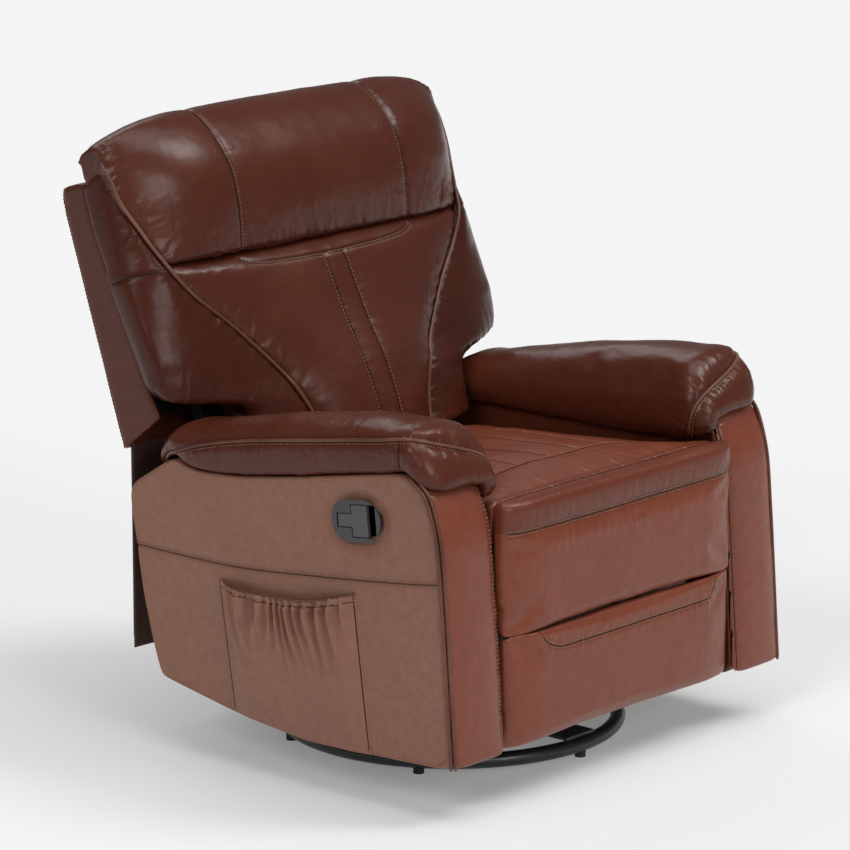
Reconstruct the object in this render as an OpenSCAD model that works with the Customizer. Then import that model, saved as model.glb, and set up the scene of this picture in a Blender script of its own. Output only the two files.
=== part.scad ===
// Manual recliner armchair with a fold-out footrest, on a rocking and swivelling ring base.
// Lengths are millimetres. The sitter faces -Y, +Z is up, and left and right are the sitter's own.
// Places are counted from the swivel axis; each piece is then moved back by fore_shift,
// which puts the middle of the chair's outline over the origin.

/* [Chair] */
// Overall width across both arms
chair_w = 834; // [800:2:870]
// Thickness of each arm
arm_t = 124; // [118:1:132]
// Clearance between the seat and each arm
seat_gap = 3; // [2:0.5:5]
// How far the outline's middle lies behind the swivel axis
fore_shift = 60.5; // [54:0.5:66]

/* [Arms] */
// Reach of the arm ahead of the swivel axis
arm_fore = 364; // [350:1:380]
// Length of the arm
arm_len = 700; // [680:1:730]
// Height of the arm's lowest edge
arm_low = 76; // [70:1:84]
// Height of the arm's side panel
arm_h = 470; // [460:1:485]
// Thickness of the padded cover
cover_t = 7; // [5:0.5:9]
// Thickness of the arm's boards
board_t = 12; // [9:0.5:15]
// Bulge of the padded front roll
roll_bulge = 13; // [9:0.5:14]
// Radius of the welt cord
welt_r = 3.5; // [2.5:0.25:4.5]
// Bulge of the arm pillow past the arm's outer face
pad_bulge = 9; // [5:0.5:12]
// Overhang of the arm pillow past the arm's inner face
pad_lip = 21; // [15:0.5:24]
// Height of the arm pillow over the arm's top line
pad_h = 88; // [78:1:96]

/* [Side pocket] */
// Length of the pocket along the arm
pocket_len = 294; // [270:1:310]
// Height of the pocket
pocket_h = 236; // [210:1:245]
// Depth of the pocket at its mouth
pocket_d = 19; // [15:0.5:24]
// Thickness of the pocket's wall
pocket_t = 3; // [2:0.25:4]
// How far the gathered hem sags
hem_sag = 17; // [8:1:24]
// Depth of each gather
gather_d = 1.6; // [0.8:0.1:2.2]

/* [Release handle] */
// Length of the oval plate
bezel_len = 102; // [96:1:110]
// Height of the oval plate
bezel_h = 68; // [62:1:74]
// Depth of the finger cup
cup_d = 26; // [22:1:30]
// Height of the handle's paddle
paddle_h = 50; // [44:1:54]
// Length of the handle's paddle
paddle_len = 32; // [28:1:34]
// Height of the handle's stem
stem_h = 20; // [16:1:24]
// Length of the handle's stem
stem_len = 26; // [22:1:28]
// Thickness of the handle
lever_t = 6; // [5:0.5:8]

/* [Seat] */
// Height of the seat's front edge
seat_z = 492; // [480:1:500]
// Height of the seat frame's underside
frame_z = 372; // [366:1:376]
// Height of the seat frame's rails
frame_h = 26; // [22:1:28]
// Width of the seat frame's rails
frame_w = 25; // [20:1:28]
// Reach of the seat front ahead of the swivel axis
seat_fore = 366; // [356:1:372]
// Reach of the seat cushion behind the swivel axis
seat_aft = 190; // [180:1:196]
// Thickness of the padded seat front
front_t = 36; // [30:1:38]
// Drop of the seat cushion's edges below its crown
seat_drop = 34; // [26:1:44]
// Depth of the sewn seams
seam_d = 4; // [2:0.5:6]

/* [Back] */
// Height of the back's lowest point
back_low = 450; // [446:1:456]
// Height of the back
back_h = 575; // [560:1:590]
// Reach of the back's rearmost edge behind the swivel axis
back_aft = 500; // [490:1:510]
// Depth of the back in side view
back_d = 400; // [390:1:410]
// Inset of the back's shell from the arms' outer faces
shell_inset = 17; // [12:1:32]
// Thickness of the shell's walls
shell_t = 10; // [8:0.5:12]
// Thickness of the hanging rear skirt
skirt_t = 3; // [2:0.5:4]
// Length of the hanging rear skirt
skirt_h = 334; // [300:1:340]
// Depth of the skirt's folds
fold_d = 5; // [2:0.5:7]

/* [Mechanism] */
// Thickness of the side plates
plate_t = 4; // [3.5:0.25:4.5]
// Room between the side plates and the arms, for the latch and its stud
plate_room = 15; // [14:0.5:17]
// Half length of each scissor link
link_h = 75; // [72:0.5:77]
// Width of each scissor link
link_w = 20; // [18:0.5:22]
// Thickness of each scissor link
link_t = 3.5; // [3:0.25:3.75]
// Radius of the link rivets
rivet_r = 4; // [3.5:0.25:5]
// Radius of the main pivots
pivot_r = 5; // [4.5:0.25:6]
// Half angle of the scissors with the footrest closed
fold_a = 76; // [74:0.5:77]
// Half angle of the scissors with the footrest open
open_a = 20; // [20:0.5:24]
// Upward slope of the scissors
rise_a = 5; // [4:0.25:6]
// Turn of the footrest while it opens
foot_a = 85; // [80:1:88]
// Height of the fixed scissor pivot
pivot_z = 237; // [235:0.5:239]
// Reach of the fixed scissor pivot ahead of the swivel axis
pivot_fore = 120; // [116:0.5:122]
// Side of the square cross tubes
tube_w = 22; // [20:0.5:24]
// Wall of the square cross tubes
tube_t = 2; // [1.5:0.25:3]

/* [Rocker] */
// Radius of the rocker cams
cam_r = 450; // [430:5:520]
// Thickness of the rocker cams
cam_t = 10; // [8:0.5:11]
// Distance of the rocker cams' middle from the side plates
cam_room = 74; // [70:1:82]
// Length of the rocker rails
rail_len = 350; // [330:2:360]
// Radius of each rocker spring
coil_r = 15; // [12:0.5:16]
// Wire radius of the rocker springs
wire_r = 2.5; // [2:0.25:3]
// Turns of each rocker spring
coil_turns = 3; // [2.5:0.5:4]

/* [Floor ring] */
// Radius of the floor ring to the middle of its tube
ring_r = 277.5; // [265:0.5:282]
// Radius of the floor ring's tube
ring_tube_r = 12.5; // [10:0.5:14]
// Number of glides under the ring
glide_count = 6; // [4:1:8]
// Height of each glide
glide_h = 8; // [6:0.5:10]
// Radius of each glide
glide_r = 9; // [7:0.5:10]
// Width of the spoke bars
spoke_w = 70; // [60:1:80]
// Thickness of the spoke bars
spoke_t = 5; // [4:0.5:6]
// Radius of the swivel plates
swivel_r = 90; // [84:1:96]
// Radius of the king bolt
king_r = 8; // [6:0.5:9]

/* [Hidden] */
$fn = 64;
// Clearances and overruns
run_gap = 0.08;
slide_gap = 0.3;
soft_gap = 0.3;
over = 2;
leather = "#6f3a2c";
leather_dark = "#5a2a20";
steel = "#2b2b2d";
zinc = "#8c9094";
wood = "#b08d62";
nylon = "#e6e2d8";

half_w = chair_w / 2;
shell_half = half_w - shell_inset;
arm_in = half_w - arm_t;
arm_mid = half_w - arm_t / 2;
seat_half = arm_in - seat_gap;
plate_x = arm_in - plate_room - plate_t;
cam_x = plate_x - cam_room;

// Floor ring levels
ring_z = glide_h + ring_tube_r;
spoke_z = ring_z + ring_tube_r;
swivel_t = 4;
race_h = 8;
race_in = 60;
race_out = 80;
lower_z = spoke_z + spoke_t;
race_z = lower_z + swivel_t;
upper_z = race_z + race_h;
beam_z = upper_z + swivel_t;
beam_h = 20;
beam_w = 90;
beam_t = 4;
beam_over = 15;
beam_half = cam_x + beam_over;
king_head_r = 14;
king_head_h = 6;
nut_h = 9;

// Rocker levels
rail_z = beam_z + beam_h;
rail_t = 4;
rail_side = 3.5;
rail_wall_h = 26;
rail_play = 1.5;
rock_pad_h = 14;
rock_pad_r = 10;
rock_gap = 0.15;
contact_z = rail_z + rail_t + rock_pad_h;
cam_half_len = 172;
cam_top = 252;
ear_w = 42;
ear_half = 75;
ear_t = 4;
cam_ear_z = 170;
coil_y = 50;
coil_out = 31;
coil_x = cam_x + coil_out;

// Side plate layout
plate_bar_z = 208;
plate_bar_h = 44;
plate_fore = 152;
plate_aft = 275;
leg_w = 54;
leg_low = 76;
tube_front = 75;
tube_rear = 130;
tube_z = 230;
bolt_r = 4;
bolt_head_r = 7;
bolt_head_h = 6;
bolt_in = 7;
post_w = 36;
post_half = 18;
hinge_y = 250;
hinge_z = 400;
hinge_r = 6;
hinge_boss = 18;
seat_ear_w = 40;
seat_ear_front = 100;
seat_ear_rear = 90;
seat_ear_t = 5;
seat_ear_reach = 28;
seat_ear_in = plate_x - seat_ear_reach;
layer_gap = 0.5;
layer1 = plate_x - layer_gap - link_t;
layer2 = layer1 - layer_gap - link_t;
layer3 = layer2 - layer_gap - link_t;

// Scissor geometry in the (y, z) plane
fore_u = [-cos(rise_a), sin(rise_a)];
up_v = [sin(rise_a), cos(rise_a)];
link_l = 2 * link_h;
reach_c = link_l * cos(fold_a);
drop_c = link_l * sin(fold_a);
drop_o = link_l * sin(open_a);
pivot_p = [-pivot_fore, pivot_z];
slide_c = pivot_p - drop_c * up_v;
slide_o = pivot_p - drop_o * up_v;
foot_p = pivot_p + 3 * reach_c * fore_u;
torque_r = 9;
torque_in = 6;
slot_r = rivet_r + slide_gap;
slot_steps = 32;
bracket_rim = 9;
boss_r = 10;

// Footrest panel
foot_half_gap = 4;
foot_low = 89;
foot_top = 271;
foot_back = 337;
foot_board_t = 12;
foot_board_low = 96;
foot_board_top = 249;
flange_w = 25;
flange_t = 3.5;
flange_low = 96;
flange_top = 238;

// Handle place on the arm's outer face, sitter's right
handle_y = -167;
handle_z = 457;
handle_tilt = 6;
bezel_t = 4;
bezel_rim = 7;
cup_wall = 2.5;
lever_play = 1.5;
lever_hinge = 34;
lever_pin_r = 2.5;
lever_barrel_r = 4;
lever_top = 1;
recess_end = 42;
cable_r = 2.5;
cable_hole_r = 6;

// Latch pawl
pawl_y = -108;
pawl_z = 150;
pawl_t = 4;
pawl_boss = 8;
pawl_reach = 11;
pawl_drop = 46;
pawl_arm = 32;
pawl_w = 10;
pawl_stud = 4;

// Route of the release cable, from the handle's cup to the latch pawl: its first five points hang
// behind the outer face, its last six run through the arm's inner board to the pawl
cable_outer = [[35, -133, 449], [43, -120, 440], [59, -106, 405], [69, -100, 330], [71, -100, 250]];
cable_inner = [[-45, -100, 208], [-25, -100, 190], [-7, -101, 187], [2, -104, 186], [7, -107, 182],
    [7.6, -108, 174]];
cable_route = concat([for (p = cable_outer) p - [half_w, 0, 0]],
    [for (p = cable_inner) p - [arm_in, 0, 0]]);

// Arm outline: share of arm_len from the front, share of arm_h from the lowest edge
arm_back_shares = [
    [0.006, 0.026], [0.156, 0.015], [0.434, 0], [0.663, 0.036], [0.89, 0.098],
    [0.902, 0.11], [0.924, 0.2], [0.953, 0.362], [1, 0.757], [0.853, 0.894],
    [0.793, 0.86], [0.657, 0.868], [0.406, 0.928], [0.146, 1]];
arm_front_shares = [
    [0.086, 0.945], [0.06, 0.851], [0.044, 0.743], [0.036, 0.606], [0.02, 0.304]];
function arm_at(s) = [s[0] * arm_len - arm_fore, s[1] * arm_h + arm_low];
arm_outline = [for (s = concat(arm_back_shares, arm_front_shares)) arm_at(s)];
arm_front_path = [for (s = [[0.083, 0.937], [0.07, 0.895], [0.06, 0.851], [0.05, 0.795], [0.044, 0.743],
    [0.036, 0.606], [0.03, 0.5], [0.025, 0.4], [0.02, 0.304],
    [0.014, 0.18], [0.006, 0.03]]) arm_at(s)];

// Arm pillow sections from the rear end to the front end: share of arm_len, share of arm_h of the
// underside, share of arm_h of the lip's lowest edge, share of pad_h of the height, share of pad_lip,
// share of arm_t
pad_shares = [
    [0.955, 0.805, 0.86, 0.08, 1, 0.42], [0.942, 0.818, 0.85, 0.3, 1, 0.6], [0.91, 0.845, 0.845, 0.47, 1, 0.82],
    [0.853, 0.898, 0.845, 0.53, 1, 0.97], [0.793, 0.864, 0.84, 0.77, 1, 1], [0.657, 0.872, 0.835, 0.95, 1, 1],
    [0.52, 0.905, 0.835, 1.01, 1, 1], [0.406, 0.932, 0.835, 1, 1.05, 1], [0.29, 0.965, 0.84, 0.96, 1.2, 1],
    [0.2, 0.986, 0.85, 0.88, 1.45, 1], [0.146, 1.004, 0.855, 0.8, 1.7, 1], [0.115, 0.975, 0.862, 0.86, 1.8, 0.99],
    [0.085, 0.95, 0.88, 0.7, 1.75, 0.93], [0.065, 0.948, 0.895, 0.42, 1.45, 0.8],
    [0.055, 0.948, 0.91, 0.16, 1.1, 0.68]];
// One section: share of the width from the arm's inner face (0) to its outer face (1), with the
// lip and the bulge added by the third and fourth numbers; share of the height
pad_ring_shares = [
    [0.985, 0, 0, 0], [1, 0.1, 0.6, 0], [1, 0.42, 1.05, 0], [0.99, 0.7, 0.6, 0],
    [0.9, 0.92, 0, 0], [0.68, 1.01, 0, 0], [0.35, 1.01, 0, 0], [0.12, 0.93, 0, 0],
    [0, 0.78, 0, 0.5], [0, 0.48, 0, 1.05], [0, 0.16, 0, 0.97]];

// Back outlines: share of back_d from the front, share of back_h from the lowest point
shell_rear_shares = [
    [0.652, 0.055], [0.72, 0.19], [0.75, 0.256], [0.83, 0.42], [0.922, 0.61], [0.96, 0.693],
    [0.985, 0.76], [0.98, 0.785]];
shell_front_shares = [
    [0.855, 0.81], [0.822, 0.73], [0.757, 0.624], [0.685, 0.517], [0.602, 0.395],
    [0.522, 0.273], [0.445, 0.167]];
function back_at(s) = [back_aft - back_d + s[0] * back_d, back_low + s[1] * back_h];
shell_outline = [for (s = concat(shell_rear_shares, shell_front_shares)) back_at(s)];

// Levels of the back, as shares of back_h: height, front line of the middle, piping (share of
// shell_half, share of back_d), bolster's outer edge (share of half_w, share of back_d), rear line
back_levels = [
    // height, middle, piping x, piping y, outer x, outer y, rear line
    [0.022, 0.035, 0.3, 0.125, 0.63, 0.2, 0.36],
    [0.055, 0.05, 0.315, 0.15, 0.632, 0.22, 0.385],
    [0.11, 0.07, 0.345, 0.182, 0.632, 0.24, 0.415],
    [0.165, 0.1, 0.38, 0.208, 0.632, 0.26, 0.441],
    [0.195, 0.122, 0.405, 0.225, 0.68, 0.275, 0.465],
    [0.216, 0.135, 0.42, 0.235, 0.955, 0.37, 0.48],
    [0.256, 0.165, 0.455, 0.27, 0.995, 0.392, 0.508],
    [0.336, 0.228, 0.555, 0.325, 1, 0.42, 0.561],
    [0.42, 0.294, 0.672, 0.382, 1, 0.478, 0.616],
    [0.5, 0.352, 0.8, 0.435, 1, 0.545, 0.67],
    [0.545, 0.385, 0.85, 0.46, 0.998, 0.585, 0.7],
    [0.575, 0.412, 0.885, 0.478, 0.992, 0.61, 0.72],
    [0.64, 0.44, 0.93, 0.54, 0.985, 0.66, 0.764],
    [0.765, 0.45, 1, 0.65, 0.982, 0.73, 0.838],
    [0.84, 0.48, 1.012, 0.705, 0.982, 0.775, 0.85],
    [0.9, 0.54, 1.018, 0.735, 0.982, 0.8, 0.845],
    [0.945, 0.63, 1.02, 0.75, 0.982, 0.795, 0.825]];
crease_level = 11;

// Headrest section: share of back_d, share of back_h
head_shares = [
    [0.425, 0.592], [0.55, 0.592], [0.722, 0.592], [0.758, 0.634], [0.815, 0.73], [0.85, 0.83],
    [0.868, 0.9], [0.84, 0.952], [0.79, 0.982], [0.735, 0.99], [0.67, 0.972], [0.59, 0.93],
    [0.528, 0.885], [0.48, 0.83], [0.45, 0.762], [0.435, 0.7], [0.43, 0.64]];
head_seam_share = 0.51;
head_round_share = 0.83;
centre_seam = 23;

// Seat cushion section: share of the seat's length from its front, share of its height
seat_shares = [
    [0, 0], [0.5, 0], [1, 0], [1, 0.3], [0.985, 0.48], [0.94, 0.56], [0.86, 0.585],
    [0.8, 0.62], [0.77, 0.68], [0.67, 0.74], [0.5, 0.81], [0.367, 0.88], [0.26, 0.925],
    [0.238, 0.93], [0.227, 0.895], [0.215, 0.935], [0.167, 0.965], [0.083, 0.99],
    [0.025, 0.985], [0, 0.93], [0, 0.5]];
// Padded seat front: share of front_t behind its face, share of its height
seat_front_low = 273;
seat_front_shares = [
    [0.3, 0], [0.97, 0], [0.985, 0.4], [0.985, 0.8], [0.985, 0.975], [0.6, 1], [0.15, 0.995],
    [-0.12, 0.965], [-0.2, 0.9], [-0.12, 0.81], [-0.02, 0.76], [-0.06, 0.7], [-0.08, 0.5],
    [-0.04, 0.25], [0, 0.06], [0.1, 0.01]];
// Footrest pad: share of its thickness behind its face, share of its height
foot_pad_shares = [
    [0.35, 0], [0.97, 0.02], [0.98, 0.5], [0.98, 0.915], [0.72, 0.93], [0.35, 0.968], [0.12, 0.985],
    [-0.02, 0.97], [-0.1, 0.9], [-0.13, 0.7], [-0.15, 0.5], [-0.12, 0.3], [-0.05, 0.1], [0.08, 0.02]];

// ---- helpers
function unit(v) = v / norm(v);
function mean(l) = [for (k = [0:2]) sum([for (p = l) p[k]]) / len(l)];
function sum(l, i = 0) = i < len(l) ? l[i] + sum(l, i + 1) : 0;
function join(l) = [for (a = l) for (b = a) b];
function mix(a, b, f) = a * (1 - f) + b * f;
// Row of a table at a height, its first column rising
function row_at(t, z, i = 0) =
    i >= len(t) - 2 || z <= t[i + 1][0]
        ? mix(t[i], t[i + 1], (z - t[i][0]) / (t[i + 1][0] - t[i][0]))
        : row_at(t, z, i + 1);
// Each corner cut once, which doubles the points of a closed ring
function soften(r) = [for (i = [0:len(r) - 1]) let (a = r[i], b = r[(i + 1) % len(r)])
    each [mix(a, b, 0.25), mix(a, b, 0.75)]];
// Outline moved inwards; the points run anticlockwise
function inset(p, d) = [for (i = [0:len(p) - 1])
    let (a = p[(i + len(p) - 1) % len(p)], b = p[i], c = p[(i + 1) % len(p)],
        e = unit(b - a), g = unit(c - b), m = [-e[1], e[0]], n = [-g[1], g[0]])
    b + d * (m + n) / (1 + m * n)];

module place() {
    translate([0, -fore_shift, 0]) children();
}
module both() {
    children();
    mirror([1, 0, 0]) children();
}
module right() {
    mirror([1, 0, 0]) children();
}
// A flat shape drawn as (y, z) and given a thickness from x0 to x1
module along_x(x0, x1) {
    translate([x0, 0, 0]) rotate([90, 0, 90]) linear_extrude(height = x1 - x0) children();
}
module rod_x(x0, x1, at, r) {
    translate([x0, at[0], at[1]]) rotate([0, 90, 0]) cylinder(h = x1 - x0, r = r);
}
// Closed skin through rings with equal counts
module loft(rings) {
    n = len(rings[0]);
    m = len(rings);
    pts = concat(join(rings), [mean(rings[0]), mean(rings[m - 1])]);
    polyhedron(points = pts, faces = concat(
        [for (i = [0:m - 2]) for (j = [0:n - 1])
            let (a = i * n + j, b = i * n + (j + 1) % n) each [[a, b + n, b], [a, a + n, b + n]]],
        [for (j = [0:n - 1]) [m * n, j, (j + 1) % n]],
        [for (j = [0:n - 1]) let (a = (m - 1) * n) [m * n + 1, a + (j + 1) % n, a + j]]));
}
// Round cord along a path that never runs parallel to ref
module cord(path, r, sides, ref) {
    last = len(path) - 1;
    loft([for (i = [0:last])
        let (t = unit(path[min(i + 1, last)] - path[max(i - 1, 0)]),
            n = unit(cross(t, ref)), b = cross(t, n))
        [for (k = [0:sides - 1]) path[i] + r * (cos(360 * k / sides) * n + sin(360 * k / sides) * b)]]);
}
// Points between those of a route, on a smooth curve through them
function spline(p, n) = concat([for (i = [0:len(p) - 2]) for (k = [0:n - 1])
    let (a = p[max(i - 1, 0)], b = p[i], c = p[i + 1], d = p[min(i + 2, len(p) - 1)], f = k / n)
    (2 * b + (c - a) * f + (2 * a - 5 * b + 4 * c - d) * f * f
        + (3 * b - a - 3 * c + d) * f * f * f) / 2], [p[len(p) - 1]]);

// ---- floor ring and swivel
module torus(r) {
    rotate_extrude($fn = 96) translate([ring_r, ring_z]) circle(r = r, $fn = 32);
}
module base_ring() {
    color(steel) place() torus(ring_tube_r);
}
module ring_glides() {
    color("#1c1c1c") place() difference() {
        for (i = [0:glide_count - 1])
            rotate([0, 0, 360 * (i + 1 / 2) / glide_count]) translate([ring_r, 0, 0])
                cylinder(h = ring_z, r = glide_r, $fn = 32);
        torus(ring_tube_r + run_gap);
    }
}
module base_spokes() {
    color(steel) place() difference() {
        for (a = [0, 90]) rotate([0, 0, a])
            translate([-ring_r, -spoke_w / 2, spoke_z]) cube([2 * ring_r, spoke_w, spoke_t]);
        translate([0, 0, spoke_z - over]) cylinder(h = spoke_t + 2 * over, r = king_r + run_gap);
    }
}
module swivel_lower_plate() {
    color(zinc) place() difference() {
        translate([0, 0, lower_z]) cylinder(h = swivel_t, r = swivel_r);
        translate([0, 0, lower_z - over]) cylinder(h = swivel_t + 2 * over, r = king_r + run_gap);
    }
}
module king_bolt() {
    color(zinc) place() {
        translate([0, 0, spoke_z - king_head_h]) cylinder(h = king_head_h, r = king_head_r, $fn = 6);
        translate([0, 0, spoke_z - king_head_h])
            cylinder(h = king_head_h + beam_z + beam_t + nut_h - spoke_z + over, r = king_r);
    }
}
module king_nut() {
    color(zinc) place() difference() {
        translate([0, 0, beam_z + beam_t + slide_gap]) cylinder(h = nut_h, r = king_head_r, $fn = 6);
        translate([0, 0, beam_z]) cylinder(h = beam_t + nut_h + 2 * over, r = king_r + run_gap);
    }
}
module bearing_ring() {
    color(nylon) place() difference() {
        translate([0, 0, race_z + run_gap]) cylinder(h = race_h - run_gap, r = race_out);
        translate([0, 0, race_z - over]) cylinder(h = race_h + 2 * over, r = race_in);
    }
}
module swivel_upper_plate() {
    color(zinc) place() difference() {
        translate([0, 0, upper_z]) cylinder(h = swivel_t, r = swivel_r);
        translate([0, 0, upper_z - over]) cylinder(h = swivel_t + 2 * over, r = king_r + run_gap);
    }
}

// ---- rocker
module rocker_beam() {
    color(steel) place() difference() {
        translate([-beam_half, -beam_w / 2, beam_z]) cube([2 * beam_half, beam_w, beam_h]);
        translate([-beam_half - over, beam_t - beam_w / 2, beam_z + beam_t])
            cube([2 * (beam_half + over), beam_w - 2 * beam_t, beam_h]);
        translate([0, 0, beam_z - over]) cylinder(h = beam_t + 2 * over, r = king_r + run_gap);
    }
}
module rocker_rail() {
    wall = cam_t / 2 + rail_play;
    translate([cam_x - wall - rail_side, -rail_len / 2, rail_z])
        cube([2 * (wall + rail_side), rail_len, rail_t]);
    for (x = [cam_x - wall - rail_side, cam_x + wall])
        translate([x, -rail_len / 2, rail_z]) cube([rail_side, rail_len, rail_wall_h]);
    translate([cam_x + wall, -ear_half, rail_z])
        cube([rail_side + ear_w, 2 * ear_half, rail_t]);
}
module rocker_rail_left() {
    color(steel) place() rocker_rail();
}
module rocker_rail_right() {
    color(steel) place() right() rocker_rail();
}
module rocker_pads() {
    w = cam_t + 2 * rail_play - 2 * slide_gap;
    color(nylon) place() both() {
        translate([cam_x - w / 2, -rock_pad_r, rail_z + rail_t])
            cube([w, 2 * rock_pad_r, rock_pad_h - rock_pad_r]);
        intersection() {
            rod_x(cam_x - w / 2, cam_x + w / 2, [0, contact_z - rock_gap - rock_pad_r], rock_pad_r);
            translate([cam_x - w, -rock_pad_r, rail_z + rail_t]) cube([2 * w, 2 * rock_pad_r, rock_pad_h]);
        }
    }
}
coil_low = rail_z + rail_t;
coil_high = cam_ear_z;
coil_pitch = (coil_high - coil_low - 4 * wire_r) / coil_turns;
echo(str("least gap between the turns of a rocker spring, mm: ", coil_pitch - 2 * wire_r));
coil_path = concat(
    [[coil_r, 0, coil_low + run_gap], [coil_r, 0, coil_low + wire_r]],
    [for (i = [1:8 * coil_turns - 1])
        [coil_r * cos(45 * i), coil_r * sin(45 * i), coil_low + 2 * wire_r + coil_pitch * i / 8]],
    [[coil_r * cos(360 * coil_turns), coil_r * sin(360 * coil_turns), coil_high - wire_r],
        [coil_r * cos(360 * coil_turns), coil_r * sin(360 * coil_turns), coil_high - run_gap]]);
module coil() {
    last = len(coil_path) - 1;
    loft([for (i = [0:last])
        let (p = coil_path[i], t = i == 0 || i == last ? [0, 0, 1]
                : unit(coil_path[i + 1] - coil_path[i - 1]),
            c = unit([p[0], p[1], 0]), b = unit(cross(t, c)), n = cross(b, t))
        [for (k = [0:5]) p + wire_r * (cos(60 * k) * n + sin(60 * k) * b)]]);
}
module rocker_springs() {
    color(zinc) place() both()
        for (y = [-coil_y, coil_y]) translate([coil_x, y, 0]) coil();
}
module tube_holes() {
    for (y = [-tube_front, tube_rear]) translate([y, tube_z])
        square(tube_w + 2 * run_gap, center = true);
}
module rocker_cam() {
    along_x(cam_x - cam_t / 2, cam_x + cam_t / 2) difference() {
        intersection() {
            translate([0, contact_z + cam_r]) circle(r = cam_r, $fn = 180);
            translate([-cam_half_len, contact_z - over])
                square([2 * cam_half_len, cam_top - contact_z + over]);
        }
        tube_holes();
        translate(pivot_p) circle(r = torque_r + run_gap);
    }
    translate([cam_x + cam_t / 2, -ear_half, cam_ear_z]) cube([ear_w, 2 * ear_half, ear_t]);
}
module rocker_cam_left() {
    color(steel) place() rocker_cam();
}
module rocker_cam_right() {
    color(steel) place() right() rocker_cam();
}

// ---- chassis
module side_plate() {
    slot_n = unit(slide_o - slide_c);
    slot_m = [-slot_n[1], slot_n[0]];
    along_x(plate_x, plate_x + plate_t) difference() {
        union() {
            translate([-plate_fore, plate_bar_z]) square([plate_fore + plate_aft, plate_bar_h]);
            translate([-plate_fore, leg_low]) square([leg_w, plate_bar_z + plate_bar_h - leg_low]);
            translate([-seat_ear_front, plate_bar_z])
                square([seat_ear_front + hinge_y + post_half, frame_z - plate_bar_z - slide_gap]);
            translate([hinge_y - post_half, plate_bar_z])
                square([post_w, hinge_z - plate_bar_z]);
            translate([hinge_y, hinge_z]) circle(r = hinge_boss);
        }
        polygon([slide_c + slot_r * slot_m, slide_c - slot_r * slot_m,
            slide_o - slot_r * slot_m, slide_o + slot_r * slot_m]);
        for (p = [slide_c, slide_o]) translate(p) circle(r = slot_r);
        tube_holes();
    }
    for (y = [-seat_ear_front, seat_ear_rear])
        translate([seat_ear_in, y, frame_z - slide_gap - seat_ear_t])
            cube([plate_x + plate_t - seat_ear_in, seat_ear_w, seat_ear_t]);
    rod_x(layer1 - layer_gap / 2, plate_x + plate_t, pivot_p, pivot_r);
    rod_x(bracket_x - layer_gap, plate_x + plate_t, [hinge_y, hinge_z], hinge_r);
}
bracket_t = 5;
bracket_x = plate_x - bracket_t - 2 * layer_gap;
module side_plate_left() {
    color(zinc) place() side_plate();
}
module side_plate_right() {
    color(zinc) place() right() {
        side_plate();
        rod_x(plate_x, plate_x + plate_t + layer_gap + pawl_t + layer_gap, [pawl_y, pawl_z], pawl_stud);
    }
}
module cross_tube(y) {
    difference() {
        translate([-arm_in, y - tube_w / 2, tube_z - tube_w / 2]) cube([2 * arm_in, tube_w, tube_w]);
        translate([bolt_in - arm_in, y + tube_t - tube_w / 2, tube_z + tube_t - tube_w / 2])
            cube([2 * (arm_in - bolt_in), tube_w - 2 * tube_t, tube_w - 2 * tube_t]);
        rod_x(-arm_in - over, arm_in + over, [y, tube_z], bolt_r + run_gap);
    }
}
module cross_tube_front() {
    color(steel) place() cross_tube(-tube_front);
}
module cross_tube_rear() {
    color(steel) place() cross_tube(tube_rear);
}

// ---- arms
frame_in = arm_in + cover_t;
frame_out = half_w - cover_t;
cavity = inset(arm_outline, cover_t);
core = inset(arm_outline, cover_t + board_t);
// The outline opened downwards, which leaves the arm's underside open
open_point = 4;
module below(p) {
    polygon(concat([p[0], p[0] - [0, arm_low], p[open_point] - [0, arm_low]],
        [for (i = [open_point:len(p) - 1]) p[i]]));
}
module bolt_holes() {
    for (y = [-tube_front, tube_rear])
        rod_x(arm_in - over, frame_in + board_t + over, [y, tube_z], bolt_r + run_gap);
}
module at_handle() {
    translate([half_w, handle_y, handle_z]) rotate([-handle_tilt, 0, 0]) children();
}
module handle_hole() {
    at_handle() translate([-cup_d - cup_wall - board_t, 0, 0]) oval(
        cup_d + cup_wall + board_t + over, bezel_len - 2 * bezel_rim + 2 * slide_gap,
        bezel_h - 2 * bezel_rim + 2 * slide_gap);
}
// Rounded oval with flat top and bottom, standing out along +X
module oval(h, l, w) {
    rotate([0, 90, 0]) linear_extrude(height = h) {
        square([w, l - w], center = true);
        for (s = [-1, 1]) translate([0, s * (l - w) / 2]) circle(r = w / 2);
    }
}
module arm_frame() {
    difference() {
        along_x(frame_in + soft_gap, frame_out - soft_gap) polygon(inset(cavity, soft_gap));
        along_x(frame_in + board_t, frame_out - board_t) below(core);
        bolt_holes();
    }
}
module arm_frame_left() {
    color(wood) place() arm_frame();
}
module arm_frame_right() {
    color(wood) place() right() difference() {
        arm_frame();
        handle_hole();
        rod_x(arm_in - over, frame_in + board_t + over, [cable_route[6][1], cable_route[6][2] - over],
            cable_hole_r);
    }
}
module arm_cover() {
    difference() {
        along_x(arm_in, half_w) polygon(arm_outline);
        along_x(frame_in, frame_out) below(cavity);
        bolt_holes();
    }
}
module arm_cover_left() {
    color(leather) place() arm_cover();
}
module arm_cover_right() {
    color(leather) place() right() difference() {
        arm_cover();
        handle_hole();
        rod_x(arm_in - over, frame_in + board_t + over, [cable_route[6][1], cable_route[6][2] - over],
            cable_hole_r);
    }
}
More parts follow.
